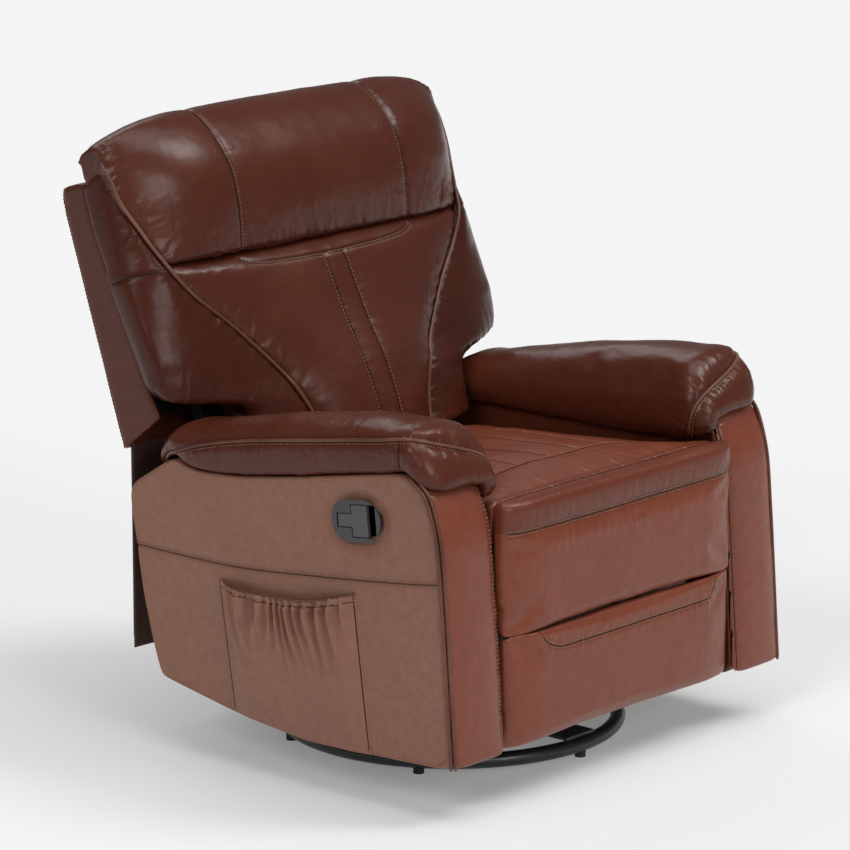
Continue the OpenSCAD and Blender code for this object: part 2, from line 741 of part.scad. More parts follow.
module arm_front() {
    last = len(arm_front_path) - 1;
    w = arm_t - 2 * soft_gap;
    loft([for (i = [last:-1:0])
        let (p = arm_front_path[i],
            t = unit(arm_front_path[max(i - 1, 0)] - arm_front_path[min(i + 1, last)]),
            n = [-t[1], t[0]],
            full = i == 0 ? 0.2 : i == 1 ? 0.6 : 1)
        [for (k = [[0, soft_gap], [0, 2], [0.04, 6], [0.16, 10], [0.34, 12.5], [0.5, 13], [0.66, 12.5],
            [0.84, 10], [0.95, 6], [1, 2], [1, soft_gap]])
            let (d = k[1] == soft_gap ? soft_gap : soft_gap + k[1] / 13 * roll_bulge * full)
            [arm_in + soft_gap + k[0] * w, p[0] + n[0] * d, p[1] + n[1] * d]]]);
}
module arm_front_left() {
    color(leather) place() arm_front();
}
module arm_front_right() {
    color(leather) place() right() arm_front();
}
function pad_ring(s) =
    let (y = s[0] * arm_len - arm_fore, low = s[1] * arm_h + arm_low + soft_gap,
        lip = s[2] * arm_h + arm_low, top = low + s[3] * pad_h,
        under = [[arm_in - 0.55 * s[4] * pad_lip, y, lip], [arm_in - 2 * soft_gap, y, lip],
            [arm_in - 2 * soft_gap, y, low], [arm_in - 2 * soft_gap, y, low]])
    concat(soften_open([for (r = pad_ring_shares)
        [arm_in + r[0] * s[5] * arm_t + r[2] * pad_bulge - r[3] * s[4] * pad_lip, y,
            r[3] > 0.9 ? mix(lip, top, r[1]) : mix(low, top, r[1])]]), under);
// Corners of an open run of points cut once, its ends kept
function soften_open(r) = concat([r[0]], [for (i = [0:len(r) - 2])
    each [mix(r[i], r[i + 1], 0.25), mix(r[i], r[i + 1], 0.75)]]);
module arm_pillow() {
    loft([for (s = pad_shares) pad_ring(s)]);
}
module arm_pillow_left() {
    color(leather_dark) place() arm_pillow();
}
module arm_pillow_right() {
    color(leather_dark) place() right() arm_pillow();
}
module arm_welts() {
    path = [for (p = arm_front_path) [half_w + welt_r + run_gap, p[0] - welt_r / 3, p[1]]];
    color("#4a231b") place() both() cord(path, welt_r, 8, [1, 0, 0]);
}
module arm_bolts() {
    color(zinc) place() both() for (y = [-tube_front, tube_rear]) {
        rod_x(arm_in - bolt_in, frame_in + board_t + bolt_head_h, [y, tube_z], bolt_r);
        translate([frame_in + board_t, y, tube_z]) rotate([0, 90, 0])
            cylinder(h = bolt_head_h, r = bolt_head_r, $fn = 6);
    }
}

// ---- side pocket on the sitter's right
pocket_cols = 20;
pocket_rear_share = 0.707;
pocket_low = 8;
function pocket_point(c, t, wall) =
    let (f = c / pocket_cols,
        rear = pocket_rear_share * arm_len - arm_fore,
        y = rear - (1 - f) * pocket_len - (1 - t) * pocket_len / 9,
        base = arm_low + pocket_low + wall,
        top = arm_low + pocket_h + (1 - f) * pocket_h / 9 - hem_sag * sin(180 * f),
        edge = min(1, 8 * min(f, 1 - f)),
        d = (pocket_d - wall) * (0.25 + 0.75 * sin(min(90, 150 * t))) * edge,
        g = gather_d * t * edge * cos(360 * 9 * f))
    [half_w + soft_gap + max(d + g, 0), y + (f < 1 / 2 ? wall : -wall), mix(base, top, t)];
module side_pocket() {
    color(leather) place() right() difference() {
        pocket_solid(0, 0);
        pocket_solid(pocket_t, 0.1);
    }
}
module pocket_solid(wall, lift) {
    levels = concat([0, 0.12, 0.3, 0.5, 0.7, 0.88, 1], lift > 0 ? [1 + lift] : []);
    back = wall > 0 ? over : 0;
    loft([for (t = levels) concat(
        [let (p = pocket_point(0, t, wall)) [half_w + soft_gap - back, p[1], p[2]]],
        [for (c = [1:pocket_cols - 1]) pocket_point(c, t, wall)],
        [let (p = pocket_point(pocket_cols, t, wall)) [half_w + soft_gap - back, p[1], p[2]]])]);
}

// ---- release handle on the sitter's right
lever_x = bezel_t - lever_t;
module handle_bezel() {
    color("#3a3a3c") place() right() at_handle() {
        lever_pin_hole(lever_pin_r, stem_h + 2 * (lever_play + over));
        difference() {
            union() {
                translate([soft_gap, 0, 0]) oval(bezel_t, bezel_len, bezel_h);
                translate([-cup_d, 0, 0])
                    oval(cup_d + bezel_t, bezel_len - 2 * bezel_rim, bezel_h - 2 * bezel_rim);
            }
            // room for the stem, the paddle and the fingers behind it
            translate([cup_wall - cup_d, lever_hinge - stem_len - over, -stem_h / 2 - lever_play])
                cube([cup_d + bezel_t + over, stem_len + over + lever_barrel_r + lever_play,
                    stem_h + 2 * lever_play]);
            translate([cup_wall - cup_d, -recess_end, -paddle_h / 2 - lever_play])
                cube([cup_d + bezel_t + over, recess_end + lever_hinge - stem_len + lever_play,
                    paddle_h + 2 * lever_play]);
        }
    }
}
module lever_pin_hole(r, h) {
    translate([lever_x + lever_t / 2, lever_hinge, -h / 2]) cylinder(h = h, r = r);
}
module release_lever() {
    color("#4a4a4c") place() right() at_handle() difference() {
        union() {
            translate([lever_x, lever_hinge - stem_len, -stem_h / 2]) cube([lever_t, stem_len, stem_h]);
            translate([lever_x, lever_hinge - stem_len - paddle_len, -paddle_h / 2])
                cube([lever_t, paddle_len, paddle_h]);
            lever_pin_hole(lever_barrel_r, stem_h);
        }
        lever_pin_hole(lever_pin_r + run_gap, stem_h + 2 * over);
    }
}
module release_cable() {
    color("#1a1a1a") place() cord(spline(cable_route, 4), cable_r, 8, [0, 1, 0]);
}
module latch_pawl() {
    x = plate_x + plate_t + layer_gap;
    color(zinc) place() right() difference() {
        along_x(x, x + pawl_t) {
            translate([pawl_y, pawl_z]) circle(r = pawl_boss);
            polygon([[pawl_y + pawl_boss, pawl_z], [pawl_y - pawl_boss, pawl_z],
                [pawl_y - pawl_reach, pawl_z - pawl_drop],
                [pawl_y - pawl_reach + pawl_w, pawl_z - pawl_drop - pawl_w / 2]]);
            translate([pawl_y - pawl_w / 2, pawl_z]) square([pawl_w, pawl_arm]);
        }
        rod_x(x - over, x + pawl_t + over, [pawl_y, pawl_z], pawl_stud + run_gap);
    }
}

// ---- footrest scissors
type1 = 180 - rise_a + fold_a;
type2 = 180 - rise_a - fold_a;
function joint1(n) = pivot_p + n * reach_c * fore_u;
function joint2(n) = slide_c + n * reach_c * fore_u;
function link_dir(a) = [cos(a), sin(a)];
module link(start, a, x0, holes) {
    along_x(x0, x0 + link_t) difference() {
        translate(start) rotate(a) {
            translate([0, -link_w / 2]) square([link_l, link_w]);
            for (s = [0, link_l]) translate([s, 0]) circle(r = link_w / 2);
        }
        for (h = holes) translate(start + h[0] * link_h * link_dir(a)) circle(r = h[1] + run_gap);
    }
}
module rivets(start, a, x0, x1, steps) {
    for (s = steps) rod_x(x0, x1, start + s * link_h * link_dir(a), rivet_r);
}
module torque_tube() {
    color(steel) place() difference() {
        rod_x(-layer1, layer1, pivot_p, torque_r);
        rod_x(-layer1 - over, layer1 + over, pivot_p, torque_in);
    }
}
module scissor_link_1() {
    color(zinc) place() both()
        link(joint1(0), type1, layer1, [[0, pivot_r], [1, rivet_r], [2, rivet_r]]);
}
module scissor_link_2() {
    color(zinc) place() both() {
        link(joint2(0), type2, layer2, []);
        rivets(joint2(0), type2, layer2, layer1 + link_t + layer_gap / 2, [1, 2]);
        rivets(joint2(0), type2, layer2, plate_x + plate_t + layer_gap + pawl_t, [0]);
    }
}
module scissor_link_3() {
    color(zinc) place() both()
        link(joint1(1), type1, layer1, [[0, rivet_r], [1, rivet_r], [2, rivet_r]]);
}
module scissor_link_4() {
    color(zinc) place() both() {
        link(joint2(1), type2, layer2, []);
        rivets(joint2(1), type2, layer2, layer1 + link_t + layer_gap / 2, [0, 1, 2]);
    }
}
module scissor_link_5() {
    color(zinc) place() both() {
        link(joint1(2), type1, layer1, [[0, rivet_r], [1, rivet_r]]);
        rivets(joint1(2), type1, layer3 - layer_gap, layer1 + link_t, [2]);
    }
}
module scissor_link_6() {
    color(zinc) place() both() {
        link(joint2(2), type2, layer2, []);
        rivets(joint2(2), type2, layer2, layer1 + link_t + layer_gap / 2, [0, 1]);
        rod_x(layer3 - layer_gap, layer2 + link_t, foot_p, pivot_r);
    }
}
// Path of the last lower rivet as the footrest bracket sees it
function guide_at(f) = let (r = link_l * sin(mix(fold_a, open_a, f)), a = foot_a * f - rise_a)
    foot_p + r * [sin(a), -cos(a)];
function guide_way(f) = unit(guide_at(f + 0.01) - guide_at(f - 0.01));
guide_pts = [for (i = [0:slot_steps]) guide_at(i / slot_steps)];
guide_nrm = [for (i = [0:slot_steps]) let (w = guide_way(i / slot_steps)) [w[1], -w[0]]];
module footrest_bracket() {
    rim = slot_r + bracket_rim;
    along_x(layer3, layer3 + link_t) difference() {
        union() {
            polygon(concat([[-foot_back + foot_board_t, flange_low]],
                [for (i = [0:slot_steps]) guide_pts[i] + rim * guide_nrm[i]],
                [foot_p, [-foot_back + foot_board_t, flange_top]]));
            for (p = [guide_at(0), guide_at(1)]) translate(p) circle(r = rim);
            translate(foot_p) circle(r = boss_r);
        }
        polygon(concat([for (i = [0:slot_steps]) guide_pts[i] + slot_r * guide_nrm[i]],
            [for (i = [slot_steps:-1:0]) guide_pts[i] - slot_r * guide_nrm[i]]));
        for (p = [guide_at(0), guide_at(1)]) translate(p) circle(r = slot_r);
        translate(foot_p) circle(r = pivot_r + run_gap);
    }
    translate([layer3 + link_t - flange_w, -foot_back + foot_board_t, flange_low])
        cube([flange_w, flange_t, flange_top - flange_low]);
}
module footrest_brackets() {
    color(zinc) place() both() footrest_bracket();
}
module footrest_board() {
    w = seat_half - foot_half_gap - foot_board_t / 2;
    color(wood) place() translate([-w, -foot_back, foot_board_low])
        cube([2 * w, foot_board_t, foot_board_top - foot_board_low]);
}
foot_t = seat_fore - foot_back;
function across(n) = [for (i = [-n:n]) i / n];
module footrest_pad() {
    w = seat_half - foot_half_gap;
    color(leather) place() loft([for (f = [-1, -0.985, -0.94, -0.8, -0.5, 0, 0.5, 0.8, 0.94, 0.985, 1])
        let (e = pow(abs(f), 12), m = abs(f) == 1 ? 0.5 : e * 0.45)
        [for (s = soften(foot_pad_shares))
            [f * w, -seat_fore + mix(s[0], 0.98, m) * foot_t,
                foot_low + mix(s[1], 0.5, abs(f) == 1 ? 0.05 : 0.015 * e) * (foot_top - foot_low)]]]);
}

// ---- seat
rail_in = plate_x - layer_gap * 8 - frame_w;
rail_fore = seat_fore - front_t;
rail_aft = 170;
module seat_rail() {
    translate([rail_in, -rail_fore, frame_z]) cube([frame_w, rail_fore + rail_aft, frame_h]);
}
module seat_rail_left() {
    color(wood) place() seat_rail();
}
module seat_rail_right() {
    color(wood) place() right() seat_rail();
}
module seat_crossrails() {
    color(wood) place() for (y = [-rail_fore, rail_aft - frame_w])
        translate([-rail_in, y, frame_z]) cube([2 * rail_in, frame_w, frame_h]);
}
// Flat zigzag wire from 0 to len along +Y
spring_w = 22;
spring_t = 3;
module zigzag(len, turns) {
    step = len / (2 * turns);
    for (i = [0:2 * turns - 1])
        let (s = i % 2 == 0 ? 1 : -1, a = [-s * spring_w, i * step], b = [s * spring_w, (i + 1) * step],
            n = unit([b[1] - a[1], a[0] - b[0]]) * spring_t / 2)
            polygon([a - n, a + n, b + n, b - n]);
    for (i = [0:2 * turns]) translate([(i % 2 == 0 ? -1 : 1) * spring_w, i * step])
        circle(r = spring_t / 2, $fn = 16);
}
seat_spring_share = 0.36;
seat_spring_x = seat_spring_share * rail_in;
module seat_springs() {
    color(zinc) place() for (k = [-2:2])
        translate([k * seat_spring_x, -rail_fore + frame_w / 2, frame_z + frame_h])
            linear_extrude(height = spring_t) zigzag(rail_fore + rail_aft - frame_w, 6);
}
seat_low = frame_z + frame_h + spring_t + soft_gap;
module seat_cushion() {
    front = -rail_fore + soft_gap;
    l = seat_aft - front;
    h = seat_z - seat_low;
    color(leather) place() loft([for (f = [-1, -0.985, -0.94, -0.84, -0.66, -0.4, 0, 0.4,
        0.66, 0.84, 0.94, 0.985, 1])
        let (e = pow(abs(f), 5), end = abs(f) == 1 ? 0.62 : abs(f) > 0.98 ? 0.86 : 1)
        [for (s = soften(seat_shares))
            [f * (seat_half - pow(s[1], 6) * seat_gap), front + s[0] * l,
                seat_low + s[1] * end * (h - (s[0] < 0.15 ? s[0] / 0.15 : 1) * e * seat_drop)]]]);
}
module seat_front() {
    h = seat_z - seat_front_low;
    color(leather) place() loft([for (f = [-1, -0.985, -0.94, -0.8, -0.4, 0.4, 0.8, 0.94, 0.985, 1])
        let (e = pow(abs(f), 14), m = abs(f) == 1 ? 0.5 : e * 0.4)
        [for (s = soften(seat_front_shares))
            [f * seat_half, -seat_fore + mix(s[0], 0.95, m) * front_t,
                seat_front_low + mix(s[1], 0.5, abs(f) == 1 ? 0.04 : 0.01 * e) * h]]]);
}

// ---- back
lean_low = back_at([0.575, 0.167]);
lean_high = back_at([0.9125, 0.77]);
lean_u = unit(lean_high - lean_low);
lean = atan2(lean_u[0], lean_u[1]);
post_room = 35;
post_x = plate_x - post_room;
tube_b = 25;
post_start = lean_low - (lean_low[1] - hinge_z) / lean_u[1] * lean_u;
post_low = 14;
// The posts end this far below the back's height
post_short = 55;
post_len = back_h - post_short;
module at_back() {
    translate([0, post_start[0], post_start[1]]) rotate([-lean, 0, 0]) children();
}
module back_post() {
    difference() {
        union() {
            at_back() translate([post_x, -tube_b / 2, post_low]) cube([tube_b, tube_b, post_len - post_low]);
            along_x(post_x + tube_b / 2, bracket_x + bracket_t) {
                translate([hinge_y, hinge_z]) circle(r = hinge_boss);
                polygon([[hinge_y - hinge_boss, hinge_z], [hinge_y + hinge_boss, hinge_z],
                    post_start + 4 * hinge_boss * lean_u + [tube_b / 2, 0],
                    post_start + 4 * hinge_boss * lean_u - [tube_b / 2, 0]]);
            }
        }
        rod_x(post_x, plate_x, [hinge_y, hinge_z], hinge_r + run_gap);
    }
}
module back_post_left() {
    color(steel) place() back_post();
}
module back_post_right() {
    color(steel) place() right() back_post();
}
rail_low = 150;
rail_drop = 30;
rail_high = post_len - rail_drop;
module back_rails() {
    half = shell_half - shell_t - soft_gap;
    color(steel) place() at_back() difference() {
        for (u = [rail_low, rail_high]) translate([-half, -tube_b / 2, u]) cube([2 * half, tube_b, tube_b]);
        for (x = [-post_x - tube_b, post_x]) translate([x, -tube_b, 0]) cube([tube_b, 2 * tube_b, post_len]);
    }
}
module back_springs() {
    color(zinc) place() at_back() for (k = [0:3])
        translate([-post_x, -tube_b / 2, rail_low + (k + 1) * (rail_high - rail_low) / 5 + tube_b / 2])
            rotate([90, 0, 0]) linear_extrude(height = spring_t) rotate(-90) zigzag(2 * post_x, 7);
}
shell_cavity = concat(
    [for (s = shell_rear_shares) back_at(s) - [shell_t, 0]],
    [for (i = [0:len(shell_front_shares) - 1]) back_at(shell_front_shares[i]) - [back_d / 8, 0]]);
module back_shell() {
    top_cut = back_at(shell_front_shares[0])[1] - 2 * shell_t;
    color(leather_dark) place() difference() {
        along_x(-shell_half, shell_half) polygon(shell_outline);
        intersection() {
            along_x(shell_t - shell_half, shell_half - shell_t)
                polygon(concat([for (p = shell_outline) p - [shell_t, 0]],
                    [back_at([0.3, 0.167]), back_at([0.3, -0.05]), back_at([0.64, -0.05])]));
            translate([-shell_half, 0, 0]) cube([2 * shell_half, back_aft, top_cut]);
        }
    }
}
function level(z) = row_at(back_levels, z);
// Places on the back's levels: piping, outer edge and rear line
function lv_z(l) = back_low + l[0] * back_h;
function lv_y(v) = back_aft - back_d + v * back_d;
// Columns across a cushion, with a narrow groove at a seam on each side of the middle
function seamed(seam, w, side) = concat(
    [for (k = [len(side) - 1:-1:0]) [-mix(seam + w, 1, side[k]), 0]],
    [[-seam, 1], [w - seam, 0], [0, 0], [seam - w, 0], [seam, 1]],
    [for (k = side) [mix(seam + w, 1, k), 0]]);
module back_cushion() {
    color(leather_dark) place() loft([for (i = [0:crease_level])
        let (l = back_levels[i], px = l[2] * shell_half - soft_gap,
            tuck = i == crease_level ? 4 * seam_d : i == crease_level - 1 ? seam_d : 0,
            z = i == crease_level ? back_low + head_shares[0][1] * back_h - soft_gap : lv_z(l))
        concat([[-px, lv_y(l[6]) - soft_gap, z]],
            [for (c = seamed(centre_seam / px, 0.03, [0, 0.3, 0.6, 0.85, 1])) [c[0] * px,
                lv_y(mix(l[1], l[3], pow(abs(c[0]), 3))) + tuck + c[1] * seam_d, z]],
            [[px, lv_y(l[6]) - soft_gap, z]])]);
}
module headrest() {
    color(leather_dark) place() loft([for (c = seamed(head_seam_share, 0.02, [0, 0.35, 0.65, 0.88, 0.97, 1]))
        let (f = c[0], e = pow(abs(f), 6))
        [for (s = soften(head_shares))
            let (l = level(s[1]), px = l[2] * shell_half - soft_gap, front = s[0] < l[6] - 0.1 ? 1 : 0,
                y = mix(s[0], front > 0 ? max(l[3], s[0]) : s[0], e) + front * c[1] * seam_d / back_d)
            [f * px, lv_y(y) - (front > 0 ? 0 : soft_gap),
                back_low + s[1] * back_h - max(s[1] - head_round_share, 0) * e * back_h / 3]]]);
}
module bolster() {
    last = len(back_levels) - 1;
    loft([for (i = [0:last])
        let (l = back_levels[i], z = lv_z(l), x0 = l[2] * shell_half + soft_gap, y0 = lv_y(l[3]),
            x1 = max(l[4] * half_w, x0 + 3 * soft_gap), y1 = lv_y(l[5]), yb = lv_y(l[6]) - soft_gap,
            w = x1 - x0, puff = min(w / 6, 3 * skirt_t))
        [[x0, yb, z], [x0, mix(y0, yb, 0.4), z], [x0, y0, z],
            [x0 + 0.12 * w, mix(y0, y1, 0.08) - 0.7 * puff, z],
            [x0 + 0.35 * w, mix(y0, y1, 0.22) - 1.2 * puff, z],
            [x0 + 0.6 * w, mix(y0, y1, 0.42) - 1.1 * puff, z],
            [x0 + 0.82 * w, mix(y0, y1, 0.66) - 0.8 * puff, z],
            [x0 + 0.95 * w, mix(y0, y1, 0.86) - 0.3 * puff, z],
            [x1, y1, z], [x1, mix(y1, yb, 0.5), z], [max(x0 + 0.96 * w, x1 - shell_t), yb, z]]]);
}
module back_bolster_left() {
    color(leather_dark) place() bolster();
}
module back_bolster_right() {
    color(leather_dark) place() right() bolster();
}
skirt_half_share = 0.96;
skirt_top = back_low + shell_rear_shares[0][1] * back_h - soft_gap;
skirt_y = back_at(shell_rear_shares[0])[0] - skirt_t;
module back_skirt() {
    w = shell_half * skirt_half_share;
    function fold(f, k) = -fold_d * k * (1 + cos(360 * 1.5 * f)) / 2;
    color("#3a1c15") place() loft([for (i = [-9:9]) let (f = i / 9) concat(
        [for (k = [0, 0.25, 0.6, 1]) [f * w, skirt_y + fold(f, k), skirt_top - k * skirt_h]],
        [for (k = [1, 0.6, 0.25, 0])
            [f * w, skirt_y + fold(f, k) + skirt_t, skirt_top - k * skirt_h]])]);
}

base_ring();
ring_glides();
base_spokes();
swivel_lower_plate();
king_bolt();
king_nut();
bearing_ring();
swivel_upper_plate();
rocker_beam();
rocker_rail_left();
rocker_rail_right();
rocker_pads();
rocker_springs();
rocker_cam_left();
rocker_cam_right();
side_plate_left();
side_plate_right();
cross_tube_front();
cross_tube_rear();
arm_frame_left();
arm_frame_right();
arm_cover_left();
arm_cover_right();
arm_front_left();
arm_front_right();
arm_pillow_left();
arm_pillow_right();
arm_welts();
arm_bolts();
side_pocket();
handle_bezel();
release_lever();
release_cable();
latch_pawl();
torque_tube();
scissor_link_1();
scissor_link_2();
scissor_link_3();
scissor_link_4();
scissor_link_5();
scissor_link_6();
footrest_brackets();
footrest_board();
footrest_pad();
seat_rail_left();
seat_rail_right();
seat_crossrails();
seat_springs();
seat_cushion();
seat_front();
back_post_left();
back_post_right();
back_rails();
back_springs();
back_shell();
back_cushion();
headrest();
back_bolster_left();
back_bolster_right();
back_skirt();
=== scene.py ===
import bpy, bmesh, math
import numpy as np
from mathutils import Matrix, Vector, noise
from mathutils.bvhtree import BVHTree
from mathutils.kdtree import KDTree


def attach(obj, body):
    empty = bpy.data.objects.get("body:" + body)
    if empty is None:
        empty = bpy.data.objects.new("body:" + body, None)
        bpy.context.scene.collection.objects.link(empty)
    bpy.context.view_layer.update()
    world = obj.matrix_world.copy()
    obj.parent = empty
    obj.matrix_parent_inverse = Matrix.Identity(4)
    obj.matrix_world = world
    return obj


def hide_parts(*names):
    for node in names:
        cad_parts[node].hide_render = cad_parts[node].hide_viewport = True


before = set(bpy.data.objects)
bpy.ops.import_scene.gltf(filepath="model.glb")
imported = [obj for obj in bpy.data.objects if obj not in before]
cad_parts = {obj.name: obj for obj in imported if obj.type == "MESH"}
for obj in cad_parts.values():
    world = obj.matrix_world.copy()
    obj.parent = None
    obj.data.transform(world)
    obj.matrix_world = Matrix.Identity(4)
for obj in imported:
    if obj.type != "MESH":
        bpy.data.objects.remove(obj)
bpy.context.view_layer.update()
scene = bpy.context.scene

# places are in millimetres from the swivel axis on the floor; the chair's origin lies 60.5 mm behind it
foreShift = 60.5
chair = {"halfWidth": 417, "armInner": 293, "armThick": 124, "seatHalf": 290, "shellHalf": 400,
         "armFore": 364, "armLen": 700, "armLow": 76, "armHigh": 470, "backLow": 450, "backHigh": 575,
         "backFront": 100, "backDeep": 400}


def toScene(points):
    p = np.array(points, dtype=float)
    p[..., 1] -= foreShift
    return p / 1000


def toMm(points):
    p = np.array(points, dtype=float) * 1000
    p[..., 1] += foreShift
    return p


def newObject(name, data):
    obj = bpy.data.objects.new(name, data)
    scene.collection.objects.link(obj)
    return obj


def turnTo(obj, view):
    obj.rotation_euler = Vector(view).to_track_quat("-Z", "Y").to_euler()


# the camera stands where the photograph was taken
cameraSet = {"place": (-5579, -4805, 2235), "view": (0.734, 0.6397, -0.2281), "lens": 195.36, "sensor": 36,
             "near": 0.1, "far": 60}
camData = bpy.data.cameras.new("camera")
camData.lens, camData.sensor_width = cameraSet["lens"], cameraSet["sensor"]
camData.clip_start, camData.clip_end = cameraSet["near"], cameraSet["far"]
cam = newObject("camera", camData)
cam.location = toScene(cameraSet["place"])
turnTo(cam, cameraSet["view"])
scene.camera = cam
print("camera placed")


def through(rows, steps):
    # points between the rows, on a smooth curve through them
    p = np.asarray(rows, float)
    q = np.concatenate([p[:1], p, p[-1:]])
    a, b, c, d = (v[:, None] for v in (q[:-3], q[1:-2], q[2:-1], q[3:]))
    t = (np.arange(steps) / steps).reshape((1, steps) + (1,) * (p.ndim - 1))
    curve = 0.5 * (2 * b + (c - a) * t + (2 * a - 5 * b + 4 * c - d) * t ** 2 + (3 * b - a - 3 * c + d) * t ** 3)
    return np.concatenate([curve.reshape((-1,) + p.shape[1:]), p[-1:]])


def soften(rows, times=1, closed=True):
    # corners cut, which doubles the points each time
    p = np.asarray(rows, float)
    for k in range(times):
        a, b = (p, np.roll(p, -1, 0)) if closed else (p[:-1], p[1:])
        mid = np.stack([a * 0.75 + b * 0.25, a * 0.25 + b * 0.75], 1).reshape((-1,) + p.shape[1:])
        p = mid if closed else np.concatenate([p[:1], mid, p[-1:]])
    return p


def rounded(corners, radius):
    # closed outline with its corners rounded
    p = np.asarray(corners, float)
    out = []
    for a, b, c in zip(np.roll(p, 1, 0), p, np.roll(p, -1, 0)):
        before, after = a - b, c - b
        la, lc = np.linalg.norm(before), np.linalg.norm(after)
        s, e = b + before * min(radius / la, 0.45), b + after * min(radius / lc, 0.45)
        out += [(1 - t) ** 2 * s + 2 * t * (1 - t) * b + t * t * e for t in (0, 0.25, 0.5, 0.75, 1)]
    return np.array(out)


def evenly(path, step, closed=False):
    # the same line with points a fixed step apart
    p = np.asarray(path, float)
    if closed:
        p = np.concatenate([p, p[:1]])
    d = np.concatenate([[0], np.cumsum(np.linalg.norm(np.diff(p, axis=0), axis=1))])
    n = max(2, int(round(d[-1] / step)) + 1)
    s = np.linspace(0, d[-1], n)
    out = np.stack([np.interp(s, d, p[:, k]) for k in range(p.shape[1])], 1)
    return out[:-1] if closed else out


def unit(v):
    return v / (np.linalg.norm(v, axis=-1, keepdims=True) + 1e-9)


def bell(distance, width):
    return np.exp(-(distance / width) ** 2)


def meshFrom(name, points, faces):
    mesh = bpy.data.meshes.new(name)
    mesh.from_pydata([tuple(v) for v in toScene(points)], [], [tuple(int(i) for i in f) for f in faces])
    mesh.update()
    return newObject(name, mesh)


def meshEdit(obj, edit):
    bm = bmesh.new()
    bm.from_mesh(obj.data)
    edit(bm)
    bm.to_mesh(obj.data)
    bm.free()


def outward(obj):
    meshEdit(obj, lambda bm: bmesh.ops.recalc_face_normals(bm, faces=bm.faces))
    obj.data.shade_smooth()
    return obj


def gridFaces(rows, cols, closed):
    # quads of a grid of points; a closed one also joins the two ends of each row
    a = np.arange(rows * cols).reshape(rows, cols)
    b = np.roll(a, -1, 1)
    if not closed:
        a, b = a[:, :-1], b[:, :-1]
    return np.stack([a[:-1], b[:-1], b[1:], a[1:]], -1).reshape(-1, 4).tolist()


def ringLoft(name, rings):
    # closed skin through rings of equal counts
    g = np.asarray(rings, float)
    m, n = g.shape[:2]
    faces, last = gridFaces(m, n, True), (m - 1) * n
    for j in range(n):
        k = (j + 1) % n
        faces += [[m * n, k, j], [m * n + 1, last + j, last + k]]
    points = np.concatenate([g.reshape(-1, 3), [g[0].mean(0)], [g[-1].mean(0)]])
    return outward(meshFrom(name, points, faces))


def tubeAlong(path, radius, sides):
    # points and faces of a round cord that is thinner at its two ends
    p = np.asarray(path, float)
    tan = unit(np.gradient(p, axis=0))
    up = unit(np.cross(tan[0], (0.3, 0.2, 0.93)))
    r = np.full(len(p), radius, float)
    r[[0, -1]] *= 0.55
    ang = 2 * np.pi * np.arange(sides)[:, None] / sides
    points = []
    for c, t, k in zip(p, tan, r):
        up = unit(up - t * np.dot(up, t))
        points.append(c + k * (np.cos(ang) * up + np.sin(ang) * np.cross(t, up)))
    end = (len(p) - 1) * sides
    caps = [list(range(sides))[::-1], list(range(end, end + sides))]
    return np.concatenate(points), gridFaces(len(p), sides, True) + caps


def joined(name, parts):
    pts, faces, base = [], [], 0
    for p, f in parts:
        pts.append(p)
        faces += [[i + base for i in q] for q in f]
        base += len(p)
    return outward(meshFrom(name, np.concatenate(pts), faces))


def readPoints(mesh, what):
    values = np.empty(len(mesh.vertices) * 3, np.float32)
    mesh.vertices.foreach_get(what, values)
    return values.reshape(-1, 3)


def coordsOf(obj):
    return toMm(readPoints(obj.data, "co"))


def thicken(obj, wall, offset):
    # a cloth or hide of the given thickness in millimetres
    applyModifier(obj, "SOLIDIFY", thickness=wall / 1000, offset=offset)
    obj.data.shade_smooth()


def setCoords(obj, mm):
    obj.data.vertices.foreach_set("co", toScene(mm).astype(np.float32).ravel())
    obj.data.update()


def pushOut(obj, co, push):
    setCoords(obj, co + readPoints(obj.data, "normal") * np.asarray(push)[:, None])


# painted shade per point, kept in the seamShade attribute that darkens the hide's colour
def paintShade(obj, values):
    layer = obj.data.attributes.new("seamShade", "FLOAT", "POINT")
    layer.data.foreach_set("value", np.asarray(values, np.float32))


def surfaceTree(obj):
    return BVHTree.FromPolygons([tuple(v) for v in coordsOf(obj)], [tuple(p.vertices) for p in obj.data.polygons])


def onto(tree, path, lift=0.0):
    # the path laid on a surface, with the surface's normals
    # a pair of trees stands for the surface before and after its dents
    before, after = tree if isinstance(tree, tuple) else (tree, None)
    pts, nrm = [], []
    for p in np.asarray(path, float):
        hit, n, _, _ = before.find_nearest(Vector(p))
        if after:
            deep = after.ray_cast(hit + n * 9, -n, 24)
            hit = deep[0] if deep[0] is not None else hit
        pts.append(np.array(hit) + np.array(n) * lift)
        nrm.append(np.array(n))
    pts = np.array(pts)
    if len(pts) > 4:
        pts[1:-1] = (pts[:-2] + 2 * pts[1:-1] + pts[2:]) / 4
    return pts, np.array(nrm)


def applyModifier(obj, kind, **values):
    mod = obj.modifiers.new(kind.lower(), kind)
    for key, value in values.items():
        setattr(mod, key, value)
    bpy.context.view_layer.objects.active = obj
    bpy.ops.object.modifier_apply(modifier=mod.name)


def remesh(obj, voxel, smooth=0):
    applyModifier(obj, "REMESH", mode="VOXEL", voxel_size=voxel / 1000)
    if smooth:
        applyModifier(obj, "SMOOTH", factor=0.5, iterations=smooth)


def noiseAt(points, scale, seed=0.0, octaves=2):
    shift = Vector((seed * 7.3, seed * 3.1, seed * 11.7))
    return np.array([noise.fractal(Vector(p) / scale + shift, 1.0, 2.0, octaves) for p in points])


